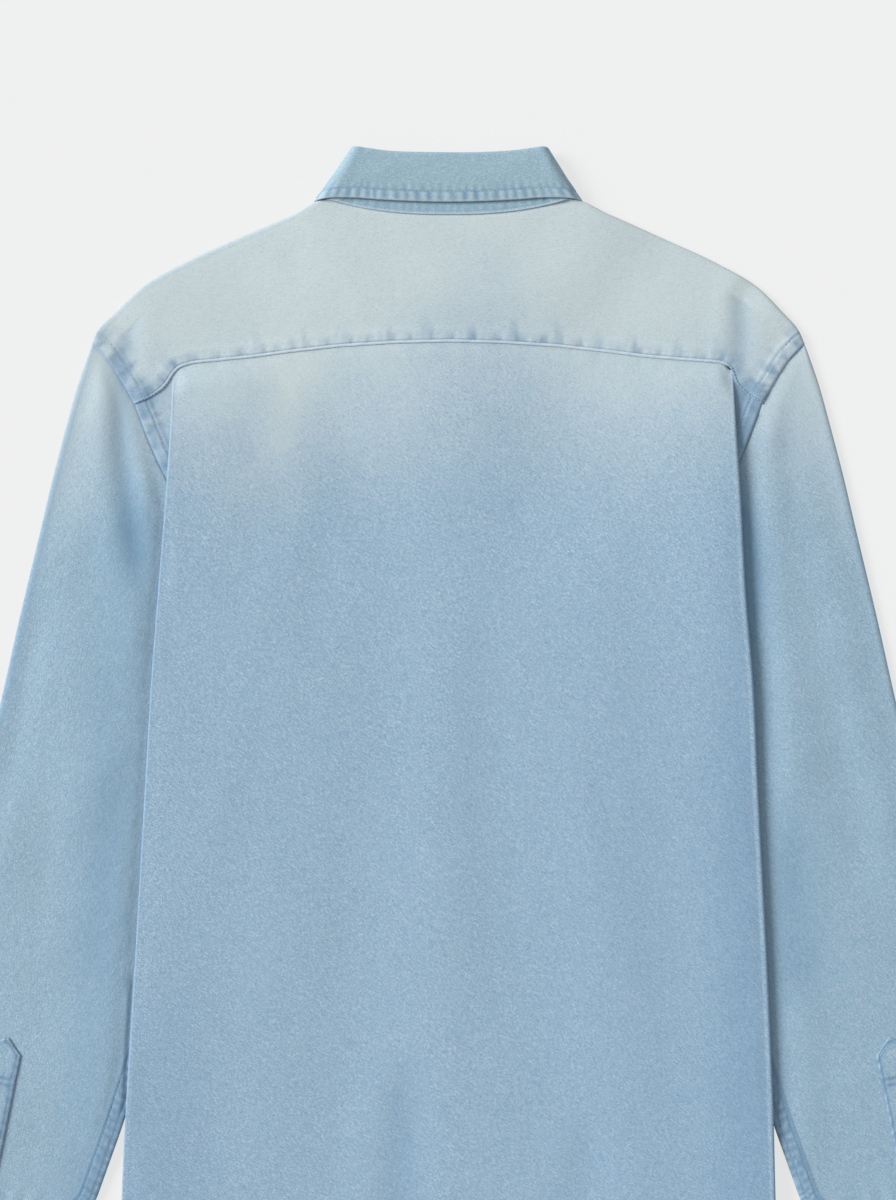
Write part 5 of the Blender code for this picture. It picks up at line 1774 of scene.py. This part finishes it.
class Nodes:
    """A material's node tree, with short calls to add to it."""

    def __init__(self, name):
        self.material = bpy.data.materials.new(name)
        self.material.use_nodes = True
        self.tree = self.material.node_tree
        self.shader = self.tree.nodes["Principled BSDF"]

    def add(self, kind, **settings):
        node = self.tree.nodes.new(kind)
        for key, value in settings.items():
            setattr(node, key, value)
        return node

    def link(self, a, b):
        self.tree.links.new(a, b)

    def value(self, socket, item):
        if hasattr(item, "is_output"):
            self.link(item, socket)
        else:
            socket.default_value = item

    def math(self, how, a, b=0.5, clamp=False):
        node = self.add("ShaderNodeMath", operation=how, use_clamp=clamp)
        self.value(node.inputs[0], a)
        self.value(node.inputs[1], b)
        return node.outputs[0]

    def between(self, value, low, high, to_low=0.0, to_high=1.0):
        node = self.add("ShaderNodeMapRange", interpolation_type="SMOOTHSTEP")
        self.value(node.inputs["Value"], value)
        node.inputs["From Min"].default_value = low
        node.inputs["From Max"].default_value = high
        node.inputs["To Min"].default_value = to_low
        node.inputs["To Max"].default_value = to_high
        return node.outputs["Result"]

    def mix(self, share, a, b, how="MIX"):
        node = self.add("ShaderNodeMix", data_type="RGBA", blend_type=how)
        self.value(node.inputs["Factor"], share)
        self.value(node.inputs[6], a)
        self.value(node.inputs[7], b)
        return node.outputs[2]

    def attribute(self, name):
        return self.add("ShaderNodeAttribute", attribute_name=name
                        ).outputs["Fac"]

    def noise(self, along, across, turn, detail=2.0, rough=0.55, at=0.0):
        """Noise whose blotches are along by across mm, turned in plan."""
        place = self.add("ShaderNodeTexCoord").outputs["Object"]
        turned = self.add("ShaderNodeMapping", vector_type="TEXTURE")
        turned.inputs["Rotation"].default_value = (0, 0, math.radians(turn))
        turned.inputs["Location"].default_value = (at * 0.013, at * 0.007, 0)
        turned.inputs["Scale"].default_value = (
            along * MM, across * MM, across * MM)
        self.link(place, turned.inputs["Vector"])
        node = self.add("ShaderNodeTexNoise", noise_dimensions="3D")
        self.link(turned.outputs["Vector"], node.inputs["Vector"])
        node.inputs["Scale"].default_value = 1.0
        node.inputs["Detail"].default_value = detail
        node.inputs["Roughness"].default_value = rough
        return node.outputs["Fac"]


def denim(name, turn, strength=1.0, tone="body"):
    """Washed denim: flecked twill, pale wash, rubbed ridges and blue hollows,
    with painted highlights and painted shade laid on the same way.
    """
    n = Nodes(name)
    tones = {"body": ((148, 175, 196), (197, 208, 209)),
             "sleeve": ((147, 174, 192), (194, 206, 208)),
             "collar": ((146, 174, 187), (176, 195, 203)),
             "inside": ((176, 192, 206), (206, 214, 220))}
    blue, pale = (linear(*c) for c in tones[tone])
    # the pale tone serves rubbed paleness and painted highlights; the deep one
    # dark flecks, deeper dye and painted shade
    worn_and_lit_tone = linear(206, 221, 233) if tone != "inside" else linear(215, 222, 228)
    deep = linear(87, 129, 163) if tone != "inside" else linear(160, 178, 196)
    cloud = n.noise(26.0, 18.0, 20.0, 3.0, 0.6, 3.0)
    fade = n.attribute("fade")
    drift = n.math("MULTIPLY", n.math("SUBTRACT", cloud, 0.5), 0.30)
    shift = n.math("MULTIPLY", drift, n.math(
        "MULTIPLY", n.math("SUBTRACT", 1.05, fade), n.math(
            "ADD", fade, 0.25)))
    level = n.math("ADD", fade, n.math("MULTIPLY", shift, 1.6), True)
    colour = n.mix(level, blue, pale)
    # long flecks of the twill, then the finer grain of single threads
    fleck = n.noise(3.0, 0.72, turn, 2.0, 0.6)
    grain = n.noise(1.1, 0.55, turn + 78.0, 1.0, 0.5, 5.0)
    speck = n.noise(0.7, 0.7, 0.0, 0.0, 0.5, 9.0)
    weave = n.math("ADD", n.math("MULTIPLY", n.math("SUBTRACT", fleck, 0.5),
                                 0.52 * strength),
                   n.math("MULTIPLY", n.math("SUBTRACT", grain, 0.5),
                          0.48 * strength))
    weave = n.math("ADD", weave, n.math(
        "MULTIPLY", n.math("SUBTRACT", speck, 0.5), 0.34 * strength))
    weave = n.math("MULTIPLY", weave, n.between(level, 0.0, 1.0, 1.45, 0.62))
    light = n.math("MAXIMUM", weave, 0.0)
    dark = n.math("MAXIMUM", n.math("MULTIPLY", weave, -1.0), 0.0)
    colour = n.mix(n.math("MULTIPLY", light, 1.55, True), colour,
                   linear(222, 229, 233))
    colour = n.mix(n.math("MULTIPLY", dark, 1.7, True), colour, deep)
    # paleness and depth of colour at the seams, broken up by the grain: rubbing
    # and deeper dye, and at folds and edges also painted highlights and painted
    # shade
    rub_and_light = n.math("MULTIPLY", n.attribute("wear_and_light"), n.between(
        n.math("ADD", fleck, n.math("MULTIPLY", cloud, 0.5)), 0.45, 0.95,
        0.45, 1.0))
    colour = n.mix(n.math("MULTIPLY", rub_and_light, 0.62, True), colour, worn_and_lit_tone)
    dye_and_shade = n.math("MULTIPLY", n.attribute("depth"), n.between(
        n.math("ADD", grain, n.math("MULTIPLY", cloud, 0.6)), 0.45, 1.1,
        0.55, 1.0))
    colour = n.mix(n.math("MULTIPLY", dye_and_shade, 0.72, True), colour, deep)
    n.link(colour, n.shader.inputs["Base Color"])
    bump = n.add("ShaderNodeBump")
    bump.inputs["Strength"].default_value = 0.34
    bump.inputs["Distance"].default_value = 0.00018
    n.link(n.math("ADD", n.math("MULTIPLY", fleck, 1.0), n.math(
        "MULTIPLY", grain, 0.8)), bump.inputs["Height"])
    broad = n.add("ShaderNodeBump")
    broad.inputs["Strength"].default_value = 0.35
    broad.inputs["Distance"].default_value = 0.0009
    n.link(n.noise(15.0, 10.0, turn, 2.0, 0.5, 13.0),
           broad.inputs["Height"])
    n.link(broad.outputs["Normal"], bump.inputs["Normal"])
    n.link(bump.outputs["Normal"], n.shader.inputs["Normal"])
    n.link(n.between(fleck, 0.25, 0.8, 0.93, 0.80),
           n.shader.inputs["Roughness"])
    n.shader.inputs["Specular IOR Level"].default_value = 0.22
    n.shader.inputs["Sheen Weight"].default_value = 0.10
    n.shader.inputs["Sheen Roughness"].default_value = 0.55
    return n.material


def thread(name, colour, pale):
    """Spun thread, a little uneven from one stitch to the next."""
    n = Nodes(name)
    patch = n.noise(4.0, 4.0, 0.0, 1.0, 0.5, 2.0)
    twist = n.noise(0.5, 0.22, 35.0, 1.0, 0.5, 1.0)
    shade = n.mix(n.between(patch, 0.3, 0.7), linear(*colour), linear(*pale))
    shade = n.mix(n.between(twist, 0.35, 0.7, 0.0, 0.3), shade,
                  linear(235, 240, 244))
    n.link(shade, n.shader.inputs["Base Color"])
    bump = n.add("ShaderNodeBump")
    bump.inputs["Strength"].default_value = 0.5
    bump.inputs["Distance"].default_value = 0.0001
    n.link(twist, bump.inputs["Height"])
    n.link(bump.outputs["Normal"], n.shader.inputs["Normal"])
    n.link(n.between(twist, 0.2, 0.8, 0.75, 0.6),
           n.shader.inputs["Roughness"])
    return n.material


def horn(name):
    """Grey resin button with a faint cloudy grain."""
    n = Nodes(name)
    grain = n.noise(5.0, 1.1, 25.0, 3.0, 0.6, 1.0)
    spots = n.noise(0.5, 0.5, 0.0, 1.0, 0.5, 2.0)
    shade = n.mix(n.between(grain, 0.3, 0.7), linear(196, 200, 196),
                  linear(222, 224, 219))
    shade = n.mix(n.between(spots, 0.6, 0.75, 0.0, 0.25), shade,
                  linear(168, 174, 172))
    n.link(shade, n.shader.inputs["Base Color"])
    n.link(n.between(grain, 0.2, 0.8, 0.24, 0.38),
           n.shader.inputs["Roughness"])
    n.shader.inputs["Coat Weight"].default_value = 0.25
    return n.material


def floor_skin():
    n = Nodes("floor")
    n.shader.inputs["Base Color"].default_value = linear(112, 112, 112)
    n.shader.inputs["Roughness"].default_value = 0.9
    n.shader.inputs["Specular IOR Level"].default_value = 0.1
    n.shader.inputs["Emission Color"].default_value = linear(238, 238, 238)
    n.shader.inputs["Emission Strength"].default_value = 0.816
    return n.material


# --------------------------------------------------------------------- build
BODY = denim("denim_body", -42.0, 1.05)
LEFT = denim("denim_left_sleeve", 72.0, 0.86, "sleeve")
RIGHT = denim("denim_right_sleeve", -45.0, 0.9, "sleeve")
YOKE_SKIN = denim("denim_yoke", 4.0, 1.1)
COLLAR_SKIN = denim("denim_collar", 2.0, 0.68, "collar")
INSIDE = denim("denim_inside", -42.0, 0.8, "inside")
THREAD = thread("thread_blue", (124, 154, 184), (176, 196, 214))
THREAD_PALE = thread("thread_pale", (150, 174, 198), (196, 210, 222))
THREAD_DARK = thread("thread_dark", (88, 118, 148), (128, 156, 184))
HORN = horn("button_horn")


def both_sides(make):
    """A piece's grids for both sides, which share their centre line."""
    left, right = make(-1), make(1)
    for name in ("points", "wear_and_light", "depth", "fade"):
        one, other = getattr(left[0], name), getattr(right[0], name)
        middle = (one[:, 0] + other[:, 0]) / 2
        if name == "points":
            middle[:, 0] = 0.0
        one, other = one.copy(), other.copy()
        one[:, 0], other[:, 0] = middle, middle
        setattr(left[0], name, one)
        setattr(right[0], name, other)
    return left + right


shell = {}
shell["back"] = joined(
    "cloth_back", both_sides(back_grids), CLOTH, BODY,
    replaces="back", inside=INSIDE)
for side, word in ((-1, "left"), (1, "right")):
    shell["front_" + word] = joined(
        "cloth_front_" + word, front_grids(side), CLOTH, BODY, face_up=False,
        replaces="front_" + word, inside=INSIDE)
shell["yoke"] = joined(
    "cloth_yoke", both_sides(yoke_grids), CLOTH, YOKE_SKIN,
    replaces="yoke", inside=INSIDE)
for side, word in ((-1, "left"), (1, "right")):
    skin = LEFT if side < 0 else RIGHT
    shell["sleeve_" + word] = joined(
        "cloth_sleeve_" + word, sleeve_grids(side), CLOTH, skin, around=True,
        replaces="sleeve_" + word, inside=INSIDE)
trees = {name: surface_of(made) for name, made in shell.items()}
for side, word in ((-1, "left"), (1, "right")):
    skin = LEFT if side < 0 else RIGHT
    shell["placket_" + word] = joined(
        "cloth_placket_" + word,
        placket_grids(side, trees["sleeve_" + word]), CLOTH, skin,
        replaces="placket_" + word, inside=INSIDE)
    shell["cuff_" + word] = joined(
        "cloth_cuff_" + word, cuff_grids(side), CUFF_WALL, skin,
        face_up=False, replaces="cuff_" + word, inside=INSIDE)
    shell["band_" + word] = joined(
        "cloth_band_" + word, [band_grid(side)], CLOTH, BODY, face_up=False,
        replaces="band_" + word, inside=INSIDE)
leaf, leaf_run = leaf_grid()
shell["collar_leaf"] = joined(
    "cloth_collar_leaf", [leaf], LEAF_WALL, COLLAR_SKIN,
    replaces="collar_leaf", inside=INSIDE)
stand, stand_run = stand_grid()
shell["collar_stand"] = joined(
    "cloth_collar_stand", [stand], STAND_WALL, COLLAR_SKIN,
    replaces="collar_stand", inside=INSIDE)
for name in ("placket_left", "placket_right", "cuff_left", "cuff_right",
             "band_left", "band_right", "collar_leaf", "collar_stand"):
    trees[name] = surface_of(shell[name])

# stitches -------------------------------------------------------------------


def beside(line, distance, low=0.0, high=1.0, side=1):
    """A line in plan moved to its right-hand side by a distance."""
    share = np.linspace(low, high, int(line.length) + 2)
    p = line.at(share) + line.normal(share) * distance
    p = p.copy()
    p[:, 0] *= side
    return p


for side in (-1, 1):
    word = "left" if side < 0 else "right"
    # the yoke's seam, on the yoke
    sew("yoke", trees["yoke"], beside(SEAM[side], -YOKE_STITCH, 0.0, 0.985,
                                      side), pitch=2.8)
    # past the yoke's corner, dark thread sewn almost solid along the edge: edge
    # stitching that also stands in for the shadow under the folded edge, a
    # painted shadow
    sew("yoke_edge_shadow_stitch", trees["yoke"], beside(
        SEAM[side], -0.75, 0.86 if side < 0 else 0.84, 0.99, side),
        pitch=2.4, thick=0.72, share=0.94)
    # the armhole, on the yoke and then on the back's third ply
    arm = beside(ARM, ARM_BAND, 0.0, 1.0, side)
    sx = np.abs(arm[:, 0])
    seen = sx > crease_x(arm[:, 1], side) - 6.0
    top = seen & (arm[:, 1] > seam_y(sx, side) + 0.6)
    low = seen & (arm[:, 1] < seam_y(sx, side) - 0.8)
    sew("yoke", trees["yoke"], arm[top])
    sew("back", trees["back"], arm[low & (sx > crease_x(
        arm[:, 1], side) + 1.0)])
    # hem, on back and fronts
    for owner, up in (("back", True), ("front_" + word, False)):
        x = np.linspace(0.5 if up else 18.5, 229.0, 240)
        sew(owner, trees[owner], np.column_stack(
            [x * side, hem_y(x) + 6.2]), up)
    # the front yoke seam and the front armhole, seen from below
    strip = np.array([STRIP_NECK, STRIP_END])
    way = (strip[1] - strip[0]) / np.linalg.norm(strip[1] - strip[0])
    off = np.array([-way[1], way[0]]) * 1.9
    p = strip[0] + off + np.linspace(0.08, 1.0, 160)[:, None] * (
        strip[1] - strip[0])
    p[:, 0] *= side
    sew("yoke", trees["yoke"], p, False, pitch=2.8)
    sew("front_" + word, trees["front_" + word],
        arm[sx > crease_x(arm[:, 1], side) + 1.0], False)
    # sleeve's felled underarm seam, where it shows
    for distance in (-3.2, -11.0):
        share = np.linspace(0.5, 0.985, 330)
        p = SLEEVE_IN.at(share) - SLEEVE_IN.normal(share) * distance
        sleeve_side = SLEEVE_IN.at(share) + SLEEVE_IN.normal(
            share) * distance
        if sleeve_side[0, 0] > p[0, 0]:
            p = sleeve_side
        p[:, 0] *= side
        sew("sleeve_" + word, trees["sleeve_" + word], p)
    # plackets
    tilt = math.radians(PLACKET_TILT)
    down = np.array([math.sin(tilt), -math.cos(tilt)])
    out = np.array([math.cos(tilt), math.sin(tilt)])
    tip, half = np.array(PLACKET_TIP), PLACKET_W / 2
    inset = 2.2
    ring = [(96.0, -half + inset), (PLACKET_POINT + 1.2, -half + inset),
            (2.9, 0.0), (PLACKET_POINT + 1.2, half - inset),
            (96.0, half - inset)]
    p = np.array([tip + down * a + out * b for a, b in ring])
    p[:, 0] *= side
    sew("placket_" + word, trees["placket_" + word], p, pitch=2.6)
    for bar in (28.0, 32.0):
        p = np.array([tip + down * bar + out * b
                      for b in (-half + 1.0, 0.0, half - 1.0)])
        p[:, 0] *= side
        sew("placket_" + word, trees["placket_" + word], p, pitch=2.4)
    # cuffs: along their edges on the upper side
    tilt = math.radians(CUFF_TILT)
    axis = np.array([math.sin(tilt), -math.cos(tilt)])
    across = np.array([-math.cos(tilt), -math.sin(tilt)])
    centre = np.array(CUFF_CENTRE)
    for row in (1.8, 7.0, CUFF_L - 6.0):
        p = np.array([centre + axis * row + across * c
                      for c in np.linspace(-55.0, 57.0, 80)])
        p[:, 0] *= side
        for up in (True, False):
            sew("cuff_" + word, trees["cuff_" + word], p, up)
    p = np.array([centre + axis * s + across * -2.6
                  for s in np.linspace(2.0, CUFF_L - 2.0, 40)])
    p[:, 0] *= side
    sew("cuff_" + word, trees["cuff_" + word], p)
    hole = centre + axis * CUFF_L / 2 + across * -12.0
    # bands
    for off in (-13.6, 13.6):
        y = np.linspace(BAND_TOP - 4.0, HEM_CENTRE + 3.0, 400)
        sew("band_" + word, trees["band_" + word],
            np.column_stack([off + 0 * y, y]), False)

# collar: along the leaf's edge and the stand's foot
n_rows = leaf.points.shape[0]
span = np.linalg.norm(np.diff(leaf.points, axis=1), axis=2)
rim = np.concatenate([np.cumsum(span[:, ::-1], axis=1)[:, ::-1],
                      np.zeros((n_rows, 1))], 1)
for distance, owner in ((LEAF_STITCH, "collar_leaf"),):
    spots = np.array([[np.interp(distance, rim[k][::-1],
                                 leaf.points[k, ::-1, axis])
                       for axis in range(3)] for k in range(n_rows)])
    du = np.gradient(leaf.points, axis=0)[:, -6]
    dv = np.gradient(leaf.points, axis=1)[:, -6]
    n = np.cross(du, dv)
    n /= np.linalg.norm(n, axis=1, keepdims=True)
    if n[n_rows // 2, 2] < 0:
        n = -n
    stitch_row(owner, spots + n * LEAF_WALL / 2, n, pitch=2.7)
n_rows = stand.points.shape[0]
rise = np.linalg.norm(stand.points - stand.points[:, :1], axis=2)
spots = np.array([[np.interp(1.6, rise[k], stand.points[k, :, axis])
                   for axis in range(3)] for k in range(n_rows)])
back_part = spots[:, 2] > 6.6
n = np.tile([0.0, 0.0, 1.0], (n_rows, 1))
stitch_row("collar_stand", (spots + n * STAND_WALL / 2)[back_part],
           n[back_part], pitch=2.5)

# buttons and buttonholes ----------------------------------------------------
button_mesh("button_collar_1", (0.0, 321.0, 0.0), False, HORN,
            "button_collar")
button_thread("buttons_front", (0.0, 321.0, 0.0), False)
for number, y in enumerate(BUTTON_ROWS, 1):
    button_mesh("button_front_%d_horn" % number, (0.0, y, 0.0), False, HORN,
                "button_front_%d" % number)
    button_thread("buttons_front", (0.0, y, 0.0), False)
    buttonhole("band_left", trees["band_left"], (0.0, y), math.pi / 2, False)
tilt = math.radians(CUFF_TILT)
for side, word in ((-1, "left"), (1, "right")):
    x = CUFF_CENTRE[0] + math.sin(tilt) * CUFF_L / 2 + math.cos(tilt) * 10.5
    y = CUFF_CENTRE[1] - math.cos(tilt) * CUFF_L / 2 + math.sin(tilt) * 10.5
    spot = (side * x, y, 4.95 + CUFF_WALL / 2 + 0.3)
    button_mesh("button_cuff_%s_horn" % word, spot, True, HORN,
                "button_cuff_" + word)
    button_thread("buttons_cuff", spot, True)
    buttonhole("cuff_" + word, trees["cuff_" + word],
               (side * x, y), side * tilt, True, 13.0)

finish_stitches({None: THREAD, "yoke_edge_shadow_stitch": THREAD_DARK,
                 "sleeve_left": THREAD_DARK,
                 "sleeve_right": THREAD_DARK, "placket_left": THREAD_DARK,
                 "placket_right": THREAD_DARK, "collar_stand": THREAD_PALE})

# cloth sheets ---------------------------------------------------------------
CUT = table("node wide long area held rests",
            ("back", 0.572, 0.700, 0.372, "folded", "front_left"),
            ("front_left", 0.286, 0.760, 0.185, "folded", None),
            ("front_right", 0.286, 0.760, 0.185, "folded", None),
            ("yoke", 0.510, 0.180, 0.061, "folded", "front_left"),
            ("sleeve_left", 0.390, 0.600, 0.172, "laid", None),
            ("sleeve_right", 0.390, 0.600, 0.172, "laid", None),
            ("cuff_left", 0.252, 0.064, None, "laid", None),
            ("cuff_right", 0.252, 0.064, None, "laid", None),
            ("placket_left", 0.022, 0.099, None, "laid", "sleeve_left"),
            ("placket_right", 0.022, 0.099, None, "laid", "sleeve_right"),
            ("band_left", 0.035, 0.723, None, "laid", None),
            ("band_right", 0.035, 0.723, None, "laid", "band_left"),
            ("collar_leaf", 0.480, 0.062, 0.0200, "folded", "collar_stand"),
            ("collar_stand", 0.420, 0.040, 0.0147, "folded", "yoke"))

# --------------------------------------------------- floor, lights and camera
mesh = bpy.data.meshes.new("floor")
mesh.from_pydata([(-4, -4, -0.0006), (4, -4, -0.0006), (4, 4, -0.0006),
                  (-4, 4, -0.0006)], [], [(0, 1, 2, 3)])
floor = bpy.data.objects.new("floor", mesh)
floor.data.materials.append(floor_skin())
bpy.context.scene.collection.objects.link(floor)

world = bpy.data.worlds.new("studio")
bpy.context.scene.world = world
world.use_nodes = True
ground = world.node_tree.nodes["Background"]
ground.inputs["Color"].default_value = (0.95, 0.985, 1.0, 1.0)
ground.inputs["Strength"].default_value = 0.46


def soft_light(name, way, strength, spread, colour):
    """A broad, even light from one direction, as a far large softbox."""
    data = bpy.data.lights.new(name, "SUN")
    data.energy, data.angle = strength, math.radians(spread)
    data.color = colour
    made = bpy.data.objects.new(name, data)
    made.location = way
    made.rotation_euler = (-Vector(way)).to_track_quat("-Z", "Y").to_euler()
    bpy.context.scene.collection.objects.link(made)
    return made


soft_light("key", (-2.0, 0.75, 1.28), 3.58, 28.0, (0.985, 0.995, 1.0))

DISTANCE = 3.0
camera_data = bpy.data.cameras.new("camera")
camera_data.type = "PERSP"
camera_data.sensor_fit = "AUTO"
camera_data.sensor_width = 36.0
camera_data.lens = 36.0 * (DISTANCE - 0.006) / 0.84
camera = bpy.data.objects.new("camera", camera_data)
camera.location = (-0.0002, 0.1012, DISTANCE)
camera.rotation_euler = (0.0, 0.0, 0.0)
bpy.context.scene.collection.objects.link(camera)
bpy.context.scene.camera = camera
bpy.context.scene.view_settings.view_transform = "Standard"
